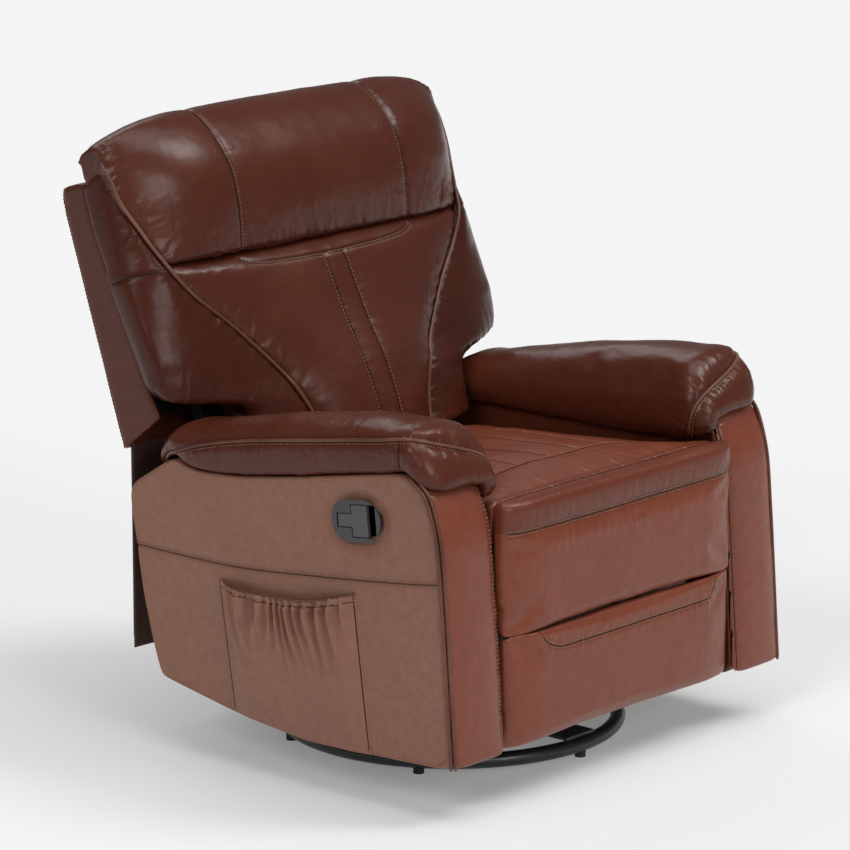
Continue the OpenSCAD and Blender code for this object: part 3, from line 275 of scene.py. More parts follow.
# soft pieces share one simulation; seams, gathers and creases come after it
soft = {}
cloth = {"quality": 4, "mass": 0.35, "tension_stiffness": 18, "compression_stiffness": 18, "shear_stiffness": 8,
         "bending_stiffness": 9, "tension_damping": 10, "compression_damping": 10, "air_damping": 3,
         "use_pressure": True, "vertex_group_mass": "pinned", "pin_stiffness": 1}
lastFrame = 20


def pins(firm, light=False):
    return np.where(firm, 1.0, np.where(light, 0.6, 0.0))


def softPiece(obj, pinned, pressure, cap, voxel):
    # the cap is the furthest that a point may move, in millimetres
    remesh(obj, voxel, 2)
    co = coordsOf(obj)
    soft[obj.name] = {"obj": obj, "cap": cap, "start": co}
    held = pinned(co)
    group = obj.vertex_groups.new(name="pinned")
    for value in (1.0, 0.6):
        group.add(np.nonzero(held == value)[0].tolist(), value, "REPLACE")
    mod = obj.modifiers.new("cloth", "CLOTH")
    for key, value in cloth.items():
        setattr(mod.settings, key, value)
    mod.settings.uniform_pressure_force = pressure
    mod.settings.effector_weights.gravity = 0
    mod.collision_settings.use_collision = False
    mod.point_cache.frame_start, mod.point_cache.frame_end = 1, lastFrame
    return obj


def runSimulation():
    for f in range(1, lastFrame + 1):
        scene.frame_set(f)
    graph = bpy.context.evaluated_depsgraph_get()
    ends = {name: toMm(readPoints(s["obj"].evaluated_get(graph).data, "co")) for name, s in soft.items()}
    for name, s in soft.items():
        obj, start = s["obj"], s["start"]
        obj.modifiers.clear()
        move = ends[name] - start
        far = np.linalg.norm(move, axis=1)[:, None]
        setCoords(obj, start + move * np.minimum(1, s["cap"] / np.maximum(far, 1e-6)))
        obj.vertex_groups.clear()
        print("simulated", name, "moved up to %.1f mm" % far.max())
    scene.frame_set(1)


def mirrorX(path):
    return np.array(path, float) * (-1, 1, 1)


def mirrored(obj, name):
    twin = newObject(name, obj.data.copy())
    twin.data.name = name
    setCoords(twin, mirrorX(coordsOf(twin)))
    twin.data.flip_normals()
    return twin


def nearPath(co, paths, reach):
    # distance to the nearest of the paths and the length along it, for points within reach
    tree = KDTree(sum(len(p) for p in paths))
    along = []
    for p in paths:
        s = np.concatenate([[0], np.cumsum(np.linalg.norm(np.diff(p, axis=0), axis=1))])
        for q, v in zip(p, s):
            tree.insert(Vector(q), len(along))
            along.append(v)
    tree.balance()
    dist = np.full(len(co), 1e3)
    length = np.zeros(len(co))
    for i, c in enumerate(co):
        _, k, d = tree.find(Vector(c))
        if d < reach:
            dist[i], length[i] = d, along[k]
    return dist, length


def seamDistance(tree, co, paths, reach):
    return nearPath(co, [onto(tree, evenly(p, 4))[0] for p in paths], reach)


def seam(paths, depth, width, reach, tuck=0, gather=0, pitch=1, fade=1):
    # a dent with a wider, shallower tuck round it, and gathers that fade out beside it
    return paths, depth, width, reach, tuck, gather, pitch, fade


def dress(obj, seams, swell, swellSize, crease, seed):
    # one subdivision, then seams drawn in, gathers beside them, broad unevenness, and painted shade along the seams'
    # grooves
    applyModifier(obj, "SUBSURF", levels=1, subdivision_type="CATMULL_CLARK")
    co = coordsOf(obj)
    tree = surfaceTree(obj)
    push = swell * noiseAt(co, swellSize, seed) + crease * noiseAt(co, 38, seed + 5, 3)
    paintedShade = np.zeros(len(co))
    for k, (paths, depth, width, reach, tuck, gather, pitch, fade) in enumerate(seams):
        dist, length = seamDistance(tree, co, paths, reach)
        push -= depth * bell(dist, width) + tuck * bell(dist, 4 * width)
        if gather:
            wob = noiseAt(np.stack([length, dist * 0.6, np.full(len(co), seed * 40)], 1), 26, seed + k)
            wave = np.sin(2 * np.pi * length / pitch + 5 * wob) * (0.55 + 0.9 * wob)
            push += gather * wave * np.exp(-dist / fade) * (1 - bell(dist, 3))
        # painted shade in each seam's groove, for the seamShade attribute
        paintedShade = np.maximum(paintedShade, bell(dist, 5))
    pushOut(obj, co, push)
    paintShade(obj, paintedShade)
    obj.data.shade_smooth()
    return tree, surfaceTree(obj)


stitchParts = {}
# along a stitch: place, share of its thickness, height above the hide
stitchRings = ((-0.5, 0.35, 0.05), (-0.25, 1, 0.5), (0.25, 1, 0.5), (0.5, 0.35, 0.05))
stitchFaces = gridFaces(4, 5, True) + [[4, 3, 2, 1, 0], [15, 16, 17, 18, 19]]


def addSewn(body, kind, part):
    stitchParts.setdefault(body, {"line": [], "stitch": [], "cord": []})[kind].append(part)


def seamLine(tree, path, body, radius):
    # the dark line where two panels meet, a thin sunken tube of painted seam shadow
    addSewn(body, "line", tubeAlong(onto(tree, evenly(path, 6), -0.2)[0], radius, 6))


def stitchRow(tree, path, body, offset=0.0, length=4.6, space=2.0, thick=0.55):
    pts, nrm = onto(tree, evenly(path, length + space))
    tan = unit(np.gradient(pts, axis=0))
    across = unit(np.cross(nrm, tan))
    if offset:
        pts, nrm = onto(tree, pts + across * offset)
    ang = 2 * np.pi * np.arange(5)[:, None] / 5
    for p, n, t, a in zip(pts, nrm, tan, across):
        rings = [p + t * length * s + n * h + thick * r * (np.cos(ang) * a + np.sin(ang) * n)
                 for s, r, h in stitchRings]
        addSewn(body, "stitch", (np.concatenate(rings), stitchFaces))


def sew(tree, path, body, radius, *offsets):
    # a seam line with a row of stitches at each offset
    seamLine(tree, path, body, radius)
    for offset in offsets:
        stitchRow(tree, path, body, offset)


def pipe(tree, path, body, radius, lift=0.0):
    line = evenly(path, 6)
    if tree:
        line = onto(tree, line, lift)[0]
    line[1:-1] = (line[:-2] + 2 * line[1:-1] + line[2:]) / 4
    addSewn(body, "cord", tubeAlong(line, radius, 10))


def socketGroup(name, inputs, outputs):
    group = bpy.data.node_groups.new(name, "ShaderNodeTree")
    for label, kind, value in inputs:
        group.interface.new_socket(label, in_out="INPUT", socket_type=kind).default_value = value
    for label, kind in outputs:
        group.interface.new_socket(label, in_out="OUTPUT", socket_type=kind)
    return group, group.nodes.new("NodeGroupInput").outputs, group.nodes.new("NodeGroupOutput").inputs


def node(tree, kind, links=None, **values):
    n = tree.nodes.new(kind)
    for key, value in values.items():
        if key.startswith("in_"):
            n.inputs[key[3:]].default_value = value
        else:
            setattr(n, key, value)
    for socket, source in (links or {}).items():
        tree.links.new(source, n.inputs[socket])
    return n


def feed(tree, socket, value):
    # a link from another socket, or a constant
    if hasattr(value, "is_linked"):
        tree.links.new(value, socket)
    else:
        socket.default_value = value


def wire(tree, inputs, values):
    for name, value in values.items():
        feed(tree, inputs[name], value)


def objectPlace(tree):
    return node(tree, "ShaderNodeTexCoord").outputs["Object"]


def noiseTex(tree, place, scale, detail, rough=0.5, bend=0.0):
    return node(tree, "ShaderNodeTexNoise", {"Vector": place}, in_Scale=scale, in_Detail=detail,
                in_Roughness=rough, in_Distortion=bend).outputs["Fac"]


def ramp(tree, source, stops):
    n = node(tree, "ShaderNodeValToRGB", {"Fac": source})
    while len(n.color_ramp.elements) < len(stops):
        n.color_ramp.elements.new(0.5)
    for e, (place, value) in zip(n.color_ramp.elements, stops):
        e.position = place
        e.color = (value, value, value, 1)
    return n.outputs["Color"]


def mathNode(tree, operation, a, b=0.5, clamp=False):
    n = node(tree, "ShaderNodeMath", operation=operation, use_clamp=clamp)
    feed(tree, n.inputs[0], a)
    feed(tree, n.inputs[1], b)
    return n.outputs[0]


def plus(tree, a, b):
    return mathNode(tree, "ADD", a, b)


def times(tree, a, b):
    return mathNode(tree, "MULTIPLY", a, b)


def blendColor(tree, factor, a, b):
    n = node(tree, "ShaderNodeMix", {0: factor}, data_type="RGBA")
    for i, v in ((6, a), (7, b)):
        feed(tree, n.inputs[i], v + (1,) if isinstance(v, tuple) else v)
    return n.outputs[2]


# fine pebble of the leather with pores and long soft creases
grain, grainIn, grainOut = socketGroup(
    "leatherGrain", [("Pebble", "NodeSocketFloat", 900.0), ("Crease", "NodeSocketFloat", 0.35)],
    [("Height", "NodeSocketFloat"), ("Hollow", "NodeSocketFloat")])
place = objectPlace(grain)
cells = node(grain, "ShaderNodeTexVoronoi", {"Vector": place, "Scale": grainIn["Pebble"]}, feature="SMOOTH_F1",
             in_Smoothness=0.6).outputs["Distance"]
fine = noiseTex(grain, place, 2600.0, 3.0)
folds = noiseTex(grain, place, 26.0, 7.0, 0.62, 0.9)
ridge = mathNode(grain, "ABSOLUTE", mathNode(grain, "SUBTRACT", folds, 0.5))
ridge = ramp(grain, ridge, ((0.0, 0.0), (0.035, 0.75), (0.12, 1.0)))
pebbles = ramp(grain, cells, ((0.0, 1.0), (0.45, 0.8), (0.8, 0.0)))
tall = plus(grain, times(grain, pebbles, 0.5), times(grain, fine, 0.25))
wire(grain, grainOut, {"Height": plus(grain, tall, times(grain, ridge, grainIn["Crease"])),
                       "Hollow": mathNode(grain, "SUBTRACT", 1.0, pebbles)})

# colour of the hide: broad clouds, burnished high places, and painted shade in the seams' grooves and the pocket's
# fold valleys
tone, toneIn, toneOut = socketGroup(
    "leatherTone", [("Body", "NodeSocketColor", (0.1, 0.03, 0.02, 1)),
                    ("Deep", "NodeSocketColor", (0.05, 0.012, 0.008, 1)),
                    ("Worn", "NodeSocketColor", (0.2, 0.08, 0.05, 1)), ("Hollow", "NodeSocketFloat", 0.0),
                    ("Cloud", "NodeSocketFloat", 0.5)],
    [("Color", "NodeSocketColor"), ("Roughness", "NodeSocketFloat")])
place = objectPlace(tone)
mottle = noiseTex(tone, place, 70.0, 5.0, 0.6)
cloudy = ramp(tone, noiseTex(tone, place, 5.5, 4.0, 0.55), ((0.32, 0.0), (0.68, 1.0)))
colour = blendColor(tone, times(tone, cloudy, toneIn["Cloud"]), toneIn["Body"], toneIn["Worn"])
# painted shade: the seamShade attribute darkens the seams' grooves and the pocket's fold valleys towards the deep
# colour
shade = node(tone, "ShaderNodeAttribute", attribute_name="seamShade").outputs["Fac"]
for darker in (ramp(tone, mottle, ((0.35, 0.0), (0.75, 0.35))), times(tone, toneIn["Hollow"], 0.22),
               times(tone, shade, 0.55)):
    colour = blendColor(tone, darker, colour, toneIn["Deep"])
wire(tone, toneOut, {"Color": colour, "Roughness": plus(tone, times(tone, mottle, 0.16), times(tone, cloudy, 0.06))})


def newMaterial(name):
    m = bpy.data.materials.new(name)
    m.use_nodes = True
    return m, m.node_tree, m.node_tree.nodes["Principled BSDF"].inputs


def leatherMaterial(name, body, deep, worn, rough, spec, coat, crease, cloud=0.5, pebble=900.0):
    m, t, shader = newMaterial(name)
    g = node(t, "ShaderNodeGroup", node_tree=grain, in_Pebble=pebble, in_Crease=crease).outputs
    c = node(t, "ShaderNodeGroup", {"Hollow": g["Hollow"]}, node_tree=tone, in_Body=body + (1,), in_Deep=deep + (1,),
             in_Worn=worn + (1,), in_Cloud=cloud).outputs
    b = node(t, "ShaderNodeBump", {"Height": g["Height"]}, in_Strength=0.12, in_Distance=0.0009)
    wire(t, shader, {"Base Color": c["Color"], "Roughness": plus(t, c["Roughness"], rough - 0.1),
                     "Normal": b.outputs["Normal"], "Coat Weight": coat, "Coat Roughness": 0.28,
                     "Specular IOR Level": spec})
    return m


# name, body colour, deep colour, worn colour, roughness, specular, coat, crease, cloud, pebble
hides = {
    "back": ("leather back", (0.078, 0.0175, 0.0084), (0.03, 0.0065, 0.0034), (0.108, 0.027, 0.0135),
             0.29, 0.24, 0.07, 0.3),
    # wing: a darker copy of the back leather, painted shade on the bolsters
    "wing": ("leather back in painted shade", (0.052, 0.0115, 0.0056), (0.02, 0.0045, 0.0024), (0.075, 0.018, 0.009),
             0.27, 0.17, 0.05, 0.3),
    "arm": ("leather arm", (0.235, 0.11, 0.074), (0.13, 0.053, 0.034), (0.275, 0.136, 0.093),
            0.4, 0.26, 0.03, 0.25),
    "front": ("leather arm front", (0.19, 0.048, 0.0245), (0.085, 0.0185, 0.0095), (0.22, 0.062, 0.034),
              0.28, 0.35, 0.06, 0.25),
    "seat": ("leather seat", (0.187, 0.0455, 0.021), (0.088, 0.0185, 0.0085), (0.222, 0.061, 0.031),
             0.3, 0.31, 0.05, 0.3),
    "band": ("leather band", (0.135, 0.032, 0.016), (0.06, 0.013, 0.007), (0.16, 0.042, 0.022),
             0.32, 0.26, 0.06, 0.35),
    "piping": ("leather piping", (0.09, 0.026, 0.014), (0.035, 0.009, 0.005), (0.2, 0.08, 0.05),
               0.34, 0.3, 0.12, 0.35, 0.8, 1400.0)}
looks = {key: leatherMaterial(*values) for key, values in hides.items()}


def plainMaterial(name, dark, light, rough, scale, bump, distance=0.0004, spec=0.5, coat=0.0, metallic=0.0, wave=0.0):
    # a finish with fine unevenness in colour, gloss and surface
    m, t, shader = newMaterial(name)
    where = objectPlace(t)
    fac = noiseTex(t, where, scale, 6.0, 0.6)
    big = noiseTex(t, where, scale / 30, 3.0)
    if wave:
        w = node(t, "ShaderNodeTexWave", {"Vector": where}, in_Scale=wave, in_Distortion=2.5, in_Detail=3.0,
                 bands_direction="X")
        fac = times(t, plus(t, fac, w.outputs["Fac"]), 0.5)
    mixed = plus(t, times(t, fac, 0.6), times(t, big, 0.4))
    b = node(t, "ShaderNodeBump", {"Height": fac}, in_Strength=bump, in_Distance=distance)
    wire(t, shader, {"Base Color": blendColor(t, ramp(t, mixed, ((0.35, 0.0), (0.65, 1.0))), dark, light),
                     "Roughness": plus(t, times(t, mixed, 0.2), rough - 0.1), "Normal": b.outputs["Normal"],
                     "Metallic": metallic, "Coat Weight": coat, "Specular IOR Level": spec})
    return m


# name, dark colour, light colour, roughness, size of the unevenness, bump and its depth, specular, coat, metal, wave
for key, values in {
        "thread": ("waxed thread", (0.22, 0.1, 0.055), (0.44, 0.25, 0.15), 0.6, 2200.0, 0.5, 0.0004, 0.2),
        "line": ("seam shadow", (0.014, 0.005, 0.003), (0.032, 0.011, 0.007), 0.7, 900.0, 0.2, 0.0004, 0.08),
        "black": ("black powder coat", (0.008, 0.008, 0.009), (0.016, 0.016, 0.018), 0.36, 1500.0, 0.35, 0.0002,
                  0.5, 0.15),
        "zinc": ("zinc plate", (0.34, 0.35, 0.36), (0.52, 0.53, 0.54), 0.34, 220.0, 0.12, 0.0002, 0.5, 0.0, 1.0),
        "rubber": ("black rubber", (0.01, 0.01, 0.01), (0.022, 0.022, 0.022), 0.75, 900.0, 0.4),
        "nylon": ("nylon", (0.62, 0.6, 0.54), (0.75, 0.73, 0.68), 0.45, 400.0, 0.1),
        "wood": ("plywood", (0.3, 0.18, 0.085), (0.52, 0.36, 0.2), 0.6, 90.0, 0.4, 0.0006, 0.5, 0.0, 0.0, 14.0),
        "plastic": ("handle plastic", (0.028, 0.028, 0.031), (0.048, 0.048, 0.052), 0.42, 2400.0, 0.5, 0.00025),
        "lever": ("lever plastic", (0.045, 0.045, 0.048), (0.07, 0.07, 0.074), 0.42, 2400.0, 0.5, 0.00025),
        "skirt": ("backing cloth", (0.035, 0.016, 0.012), (0.065, 0.028, 0.02), 0.7, 1100.0, 0.6, 0.0005),
        "cable": ("cable jacket", (0.01, 0.01, 0.011), (0.02, 0.02, 0.021), 0.5, 1200.0, 0.3)}.items():
    looks[key] = plainMaterial(*values)

# painted shade: the cup of the handle is painted near black, darker than its face, where shade falls in it
handleShade = {"depth": 0.4185, "sharpness": 600.0, "colour": (0.004, 0.004, 0.004)}
t = looks["plastic"].node_tree
base = t.nodes["Principled BSDF"].inputs["Base Color"]
depth = node(t, "ShaderNodeSeparateXYZ", {0: objectPlace(t)}).outputs["X"]
handleShadeMask = mathNode(t, "MULTIPLY", plus(t, depth, handleShade["depth"]), handleShade["sharpness"], clamp=True)
t.links.new(blendColor(t, handleShadeMask, base.links[0].from_socket, handleShade["colour"]), base)


def useLook(obj, look):
    obj.data.materials.clear()
    obj.data.materials.append(looks[look])


def settle(obj, body, look, slot, *replaces):
    useLook(obj, look)
    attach(obj, body)
    if replaces:
        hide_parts(*replaces)


def finishSoft(obj, body, look, slot, replaces):
    settle(obj, body, look, slot, replaces)


print("materials made")


def atX(x, path):
    return [(x, y, z) for y, z in path]


def pair(obj, name):
    return (obj, 1, "left"), (mirrored(obj, name + "_right"), -1, "right")


def secondLook(obj, look, chosen):
    # another hide on the faces whose points are chosen
    obj.data.materials.append(looks[look])
    for p in obj.data.polygons:
        if chosen(p.vertices):
            p.material_index = 1


def armAt(share):
    return np.array([share[0] * chair["armLen"] - chair["armFore"], share[1] * chair["armHigh"] + chair["armLow"]])


arm = {
    "outline": [(0.006, 0.026), (0.156, 0.015), (0.434, 0), (0.663, 0.036), (0.89, 0.098), (0.902, 0.11),
                (0.924, 0.2), (0.953, 0.362), (1, 0.757), (0.853, 0.894), (0.793, 0.86), (0.657, 0.868),
                (0.406, 0.928), (0.146, 1), (0.086, 0.945), (0.06, 0.851), (0.044, 0.743), (0.036, 0.606),
                (0.02, 0.304)],
    "front": [(0.135, 0.99), (0.108, 0.968), (0.083, 0.937), (0.07, 0.895), (0.06, 0.851), (0.05, 0.795),
              (0.044, 0.743), (0.036, 0.606), (0.03, 0.5), (0.025, 0.4), (0.02, 0.304), (0.014, 0.18), (0.006, 0.03)],
    "crown": [(0, 0), (0, 2), (0.015, 5), (0.06, 8), (0.16, 11), (0.34, 12.8), (0.5, 13.2), (0.66, 12.8), (0.84, 11),
              (0.94, 8), (0.985, 5), (1, 2), (1, 0)],
    "middle": (-20.0, 300.0), "edgeRound": 9, "panelCrown": 2.2, "corner": 26, "handle": (-167, 457),
    "handleTilt": math.radians(6), "handleDish": 7, "inner": 304, "wall": 3,
    "seam": [(319, 336), (98, 337), (-80, 352), (-255, 371), (-335, 382)]}


def armShell():
    # the padded cover: inner panel, rim, outer panel
    ring = evenly(rounded([armAt(s) for s in arm["outline"]], arm["corner"]), 5.5, closed=True)
    middle = np.array(arm["middle"])
    xin, xout, r = chair["armInner"], chair["halfWidth"], arm["edgeRound"]
    rows = [(xin, t * 0.985) for t in np.linspace(0.04, 1, 42) ** 0.8]
    for a in np.radians(np.linspace(0, 90, 4)[1:]):
        rows.append((xin + 4 * (1 - math.cos(a)), 0.985 + 0.015 * math.sin(a)))
    rows += [(x, 1) for x in np.linspace(xin + 12, xout - r, 12)]
    for a in np.radians(np.linspace(0, 90, 5)[1:]):
        rows.append((xout - r + r * math.sin(a), 1 - 0.02 * (1 - math.cos(a))))
    for t in np.linspace(1, 0.04, 46) ** 0.9:
        rows.append((xout + arm["panelCrown"] * (1 - t ** 4) - 1.0, 0.98 * t))
    return np.array([[(x, *q) for q in middle + (ring - middle) * k] for x, k in rows])


def buildArms():
    base = armShell()
    hy, hz = arm["handle"]
    c, s = math.cos(arm["handleTilt"]), math.sin(arm["handleTilt"])
    m, n = base.shape[:2]
    faces = gridFaces(m, n, True) + [list(range(n)), list(range((m - 1) * n, m * n))[::-1]]
    for side, label in ((1, "left"), (-1, "right")):
        obj = outward(meshFrom("armCover_" + label, (base * (side, 1, 1)).reshape(-1, 3), faces))
        co = coordsOf(obj)
        push = 1.1 * noiseAt(co, 210, 2 + side) + 0.35 * noiseAt(co, 45, 9 + side, 3)
        if side < 0:
            outer = np.clip((np.abs(co[:, 0]) - 405) / 8, 0, 1)
            away = np.hypot((co[:, 1] - hy) / 1.35, co[:, 2] - hz)
            push += outer * (1.5 * bell(away - 72, 22) - arm["handleDish"] * bell(np.maximum(away - 34, 0), 17))
        under = (co[:, 2] < chair["armLow"] + 50) & (np.abs(readPoints(obj.data, "normal")[:, 2]) > 0.7)
        pushOut(obj, co, push * ~under)

        def openUp(bm):
            # the underside stays open, and the handle's oval is cut out on the sitter's right
            drop = []
            for f in bm.faces:
                x, y, z = toMm(np.array(f.calc_center_median()))
                low = f.normal.z < -0.6 and z < 150 and 304 < abs(x) < 406 and -340 < y < 240
                u, v = (y - hy) * c - (z - hz) * s, (y - hy) * s + (z - hz) * c
                if low or side < 0 and abs(x) > 400 and np.hypot(max(abs(u) - 17, 0), v) < 27.5:
                    drop.append(f)
            bmesh.ops.delete(bm, geom=drop, context="FACES")
        meshEdit(obj, openUp)
        tree = surfaceTree(obj)
        seamPath = atX(side * 418, through(arm["seam"], 12))
        co = coordsOf(obj)
        dist = seamDistance(tree, co, [seamPath], 60)[0]
        pushOut(obj, co, -1.6 * bell(dist, 4) - 0.8 * bell(dist, 16))
        # painted shade along the side seam's groove
        paintShade(obj, bell(dist, 4))
        thicken(obj, arm["wall"], -1)
        finishSoft(obj, "chassis", "arm", "leather_arm", "arm_cover_" + label)
        # the inner faces take the darker back leather: painted shade on the side facing the seat, with a redder tone
        inner = np.abs(coordsOf(obj)[:, 0]) < arm["inner"]
        secondLook(obj, "back", lambda v: inner[v[0]])
        seamLine(tree, seamPath, "chassis", 0.5)
        stitchRow(tree, seamPath, "chassis", -3.0 * side, thick=0.5)
        print("arm cover", label, len(obj.data.vertices))


def frontPath(lift):
    # the edge of an arm's front, moved outwards by the lift
    p = evenly(soften([armAt(s) for s in arm["front"]], 1, closed=False), 7)
    t = unit(np.gradient(p, axis=0))
    n = np.stack([t[:, 1], -t[:, 0]], 1)
    n *= np.sign(-n[:, :1] + 1e-9)
    return p + n * lift


def buildArmFronts():
    path = frontPath(0)
    crown = soften(arm["crown"], 1, closed=False)
    rings = []
    for i, (p, n) in enumerate(zip(path, frontPath(1) - path)):
        full = min(1, 0.05 + i / 14)
        rings.append([(chair["armInner"] + 0.4 + k * 123.2, *(p + n * (0.3 + d * full))) for k, d in crown])
    obj = ringLoft("armFront_left", rings)

    def pinned(co):
        rows = [np.array(atX(x, path)) for x in (294, 324, 355, 386, 416)]
        return pins((nearPath(co, rows, 200)[0] < 6) | (np.abs(co[:, 0] - 355) > 56))
    return softPiece(obj, pinned, pressure=2.5, cap=5, voxel=5)


def finishArmFronts(obj):
    for o, side, label in pair(obj, "armFront"):
        inner = atX(side * 300, frontPath(9))
        tree = dress(o, [seam([inner], depth=1.2, width=5, reach=50, gather=0.5, pitch=26, fade=22)],
                     swell=1.3, swellSize=170, crease=0.35, seed=3 + side)
        finishSoft(o, "chassis", "front", "leather_arm", "arm_front_" + label)
        sew(tree, inner, "chassis", 0.7, 3, -3)
        pipe(None, atX(side * 417.8, frontPath(0.8)), "chassis", 3.4)
        pipe(None, atX(side * 413.2, frontPath(6.2)), "chassis", 3.0)


# "rest" holds the arm box's height under the pillow, from the front to the rear
pad = {
    "shares": [(0.955, 0.805, 0.86, 0.08, 1, 0.42), (0.942, 0.818, 0.85, 0.3, 1, 0.6),
               (0.91, 0.845, 0.845, 0.47, 1, 0.82), (0.853, 0.898, 0.845, 0.53, 1, 0.97),
               (0.793, 0.864, 0.84, 0.77, 1, 1), (0.657, 0.872, 0.835, 0.95, 1, 1),
               (0.52, 0.905, 0.835, 1.01, 1, 1), (0.406, 0.932, 0.835, 1, 1.05, 1),
               (0.29, 0.965, 0.84, 0.96, 1.2, 1), (0.2, 0.986, 0.85, 0.88, 1.45, 1),
               (0.146, 1.004, 0.855, 0.8, 1.7, 1), (0.115, 0.975, 0.862, 0.86, 1.8, 0.99),
               (0.085, 0.95, 0.88, 0.7, 1.75, 0.93), (0.065, 0.948, 0.895, 0.42, 1.45, 0.8),
               (0.055, 0.948, 0.91, 0.16, 1.1, 0.68)],
    "ring": [(0.985, 0, 0, 0), (1, 0.1, 0.6, 0), (1, 0.42, 1.05, 0), (0.99, 0.7, 0.6, 0), (0.9, 0.92, 0, 0),
             (0.68, 1.01, 0, 0), (0.35, 1.01, 0, 0), (0.12, 0.93, 0, 0), (0, 0.78, 0, 0.5), (0, 0.48, 0, 1.05),
             (0, 0.16, 0, 0.97)],
    "bulge": 9, "lip": 21, "height": 88,
    "welt": [(345, 297, 478), (388, 272, 483), (412, 244, 494), (421, 226, 504), (425, 166, 527), (425, 70, 550),
             (425, -25, 565), (424, -193, 592), (422, -240, 601), (410, -275, 603), (382, -294, 596),
             (335, -304, 581), (295, -306, 566), (266, -302, 546), (254, -297, 522), (251, -293, 497),
             (256, -286, 480)],
    "sideSeam": [(424, -252, 600), (426, -258, 578), (422, -256, 554)], "front": -262,
    "rest": ([-400, -300, -262, -80, 96, 191, 233, 300], [515, 528, 547, 513, 485, 481, 497, 466])}
pillowWelt = evenly(through(pad["welt"], 6), 4)


def buildPillow():
    rings = []
    for s in through(pad["shares"], 4):
        y, low = armAt(s[:2]) + (0, 0.3)
        lip = armAt(s[1:3])[1]
        top = low + s[3] * pad["height"]
        xin, over = chair["armInner"], s[4] * pad["lip"]
        side = [(xin + r[0] * s[5] * chair["armThick"] + r[2] * pad["bulge"] - r[3] * over, y,
                 (lip if r[3] > 0.9 else low) * (1 - r[1]) + top * r[1]) for r in pad["ring"]]
        under = [(xin - 0.55 * over, y, lip), (xin - 0.6, y, lip), (xin - 0.6, y, low), (xin + 60, y, low)]
        rings.append(np.concatenate([soften(side, 2, closed=False), under]))
    obj = ringLoft("armPillow_left", rings)
    remesh(obj, 6)
    # the front end is drawn in a little along the welt
    co = coordsOf(obj)
    end = evenly(through([w for w in pad["welt"] if w[1] < -270], 6), 4)
    d = nearPath(co * (1, 0, 1), [end * (1, 0, 1)], 60)[0]
    co[:, 1] += 5 * bell(d, 12) * np.clip((pad["front"] - co[:, 1]) / 18, 0, 1)
    setCoords(obj, co)

    def pinned(co):
        x, above = co[:, 0], co[:, 2] - np.interp(co[:, 1], *pad["rest"])
        rests = (x > 292) & (x < 412) & (above < 5) | (x > 404) & (above < 7)
        return pins(rests, nearPath(co, [pillowWelt], 60)[0] < 7)
    return softPiece(obj, pinned, pressure=3.0, cap=7, voxel=6)


def finishPillows(obj):
    for o, side, label in pair(obj, "armPillow"):
        w = pillowWelt * (side, 1, 1)
        end = w[:, 1] < pad["front"]
        cap = through(pad["sideSeam"], 6) * (side, 1, 1)
        tree = dress(o, [seam([w[~end]], depth=1.8, width=7, reach=90, gather=1.0, pitch=24, fade=24),
                         seam([w[end]], depth=2.8, width=8, reach=90, gather=1.9, pitch=29, fade=26),
                         seam([cap], depth=2.2, width=5, reach=60, gather=1.4, pitch=15, fade=26)],
                     swell=1.8, swellSize=120, crease=0.5, seed=6 + side)
        finishSoft(o, "chassis", "back", "leather_back", "arm_pillow_" + label)
        pipe(tree, w, "chassis", 3.0, 1.4)
        seamLine(tree, cap, "chassis", 1.2)
        stitchRow(tree, w, "chassis", 5.5 * side)


# "hem" is the share of the height at which the hem begins
pocket = {"len": 294, "high": 236, "deep": 19, "rear": 0.707, "sag": 17, "hem": 0.955, "wall": 1.6, "folds": 14,
          "foldDepth": 14, "cols": 210, "rows": 90}


def noiseOf(*place):
    return noise.noise(Vector(place))


def pocketAt(f, t):
    # a point of the pocket, and its painted shade in a valley between two folds
    rear = pocket["rear"] * chair["armLen"] - chair["armFore"]
    y = rear - (1 - f) * pocket["len"] - (1 - t) * pocket["len"] / 9
    base = np.interp(y, (-255, -60, 100), (84, 80, 97))
    top = chair["armLow"] + pocket["high"] + (1 - f) * pocket["high"] / 9 - pocket["sag"] * math.sin(math.pi * f)
    edge = min(1, 9 * min(f, 1 - f))
    middle = min(1, 6 * min(f, 1 - f))
    deep = pocket["deep"] * (0.22 + 0.78 * math.sin(math.radians(min(90, 120 * t)))) * edge
    wave = 2 * math.pi * (pocket["folds"] * f + 1.3 * noiseOf(f * 4, t * 2.2, 5.1))
    ridge = (0.5 + 0.5 * math.cos(wave)) ** 1.6 - 0.45 + 0.5 * noiseOf(f * 26, t * 1.4, 9.3)
    fall, valley = 1, 0
    if t < pocket["hem"]:
        reach = 0.42 + 0.24 * noiseOf(f * 9, 2.2, 7.7) + 0.1 * math.sin(math.pi * f)
        fall = max(0, 1 - (pocket["hem"] - t) / reach) ** 1.1
        # painted shade in the valleys between the folds
        valley = min(1, max(0, 0.1 - 2.6 * ridge)) * fall ** 0.6 * middle
    inHem = t > pocket["hem"]
    folds = pocket["foldDepth"] * ridge * fall * middle * (0.35 if inHem else 1)
    folds += 2.4 * noiseOf(f * 5, t * 3, 1.7) * math.sin(math.pi * t)
    if inHem:
        folds += math.sin(2 * math.pi * 30 * f)
    out = chair["halfWidth"] + 1.2 + max(deep * 0.9 + folds * edge, 0.3)
    return (-out, y, base * (1 - t) + top * t), valley


def pocketLine(spots):
    return [pocketAt(f, t)[0] for f, t in spots]


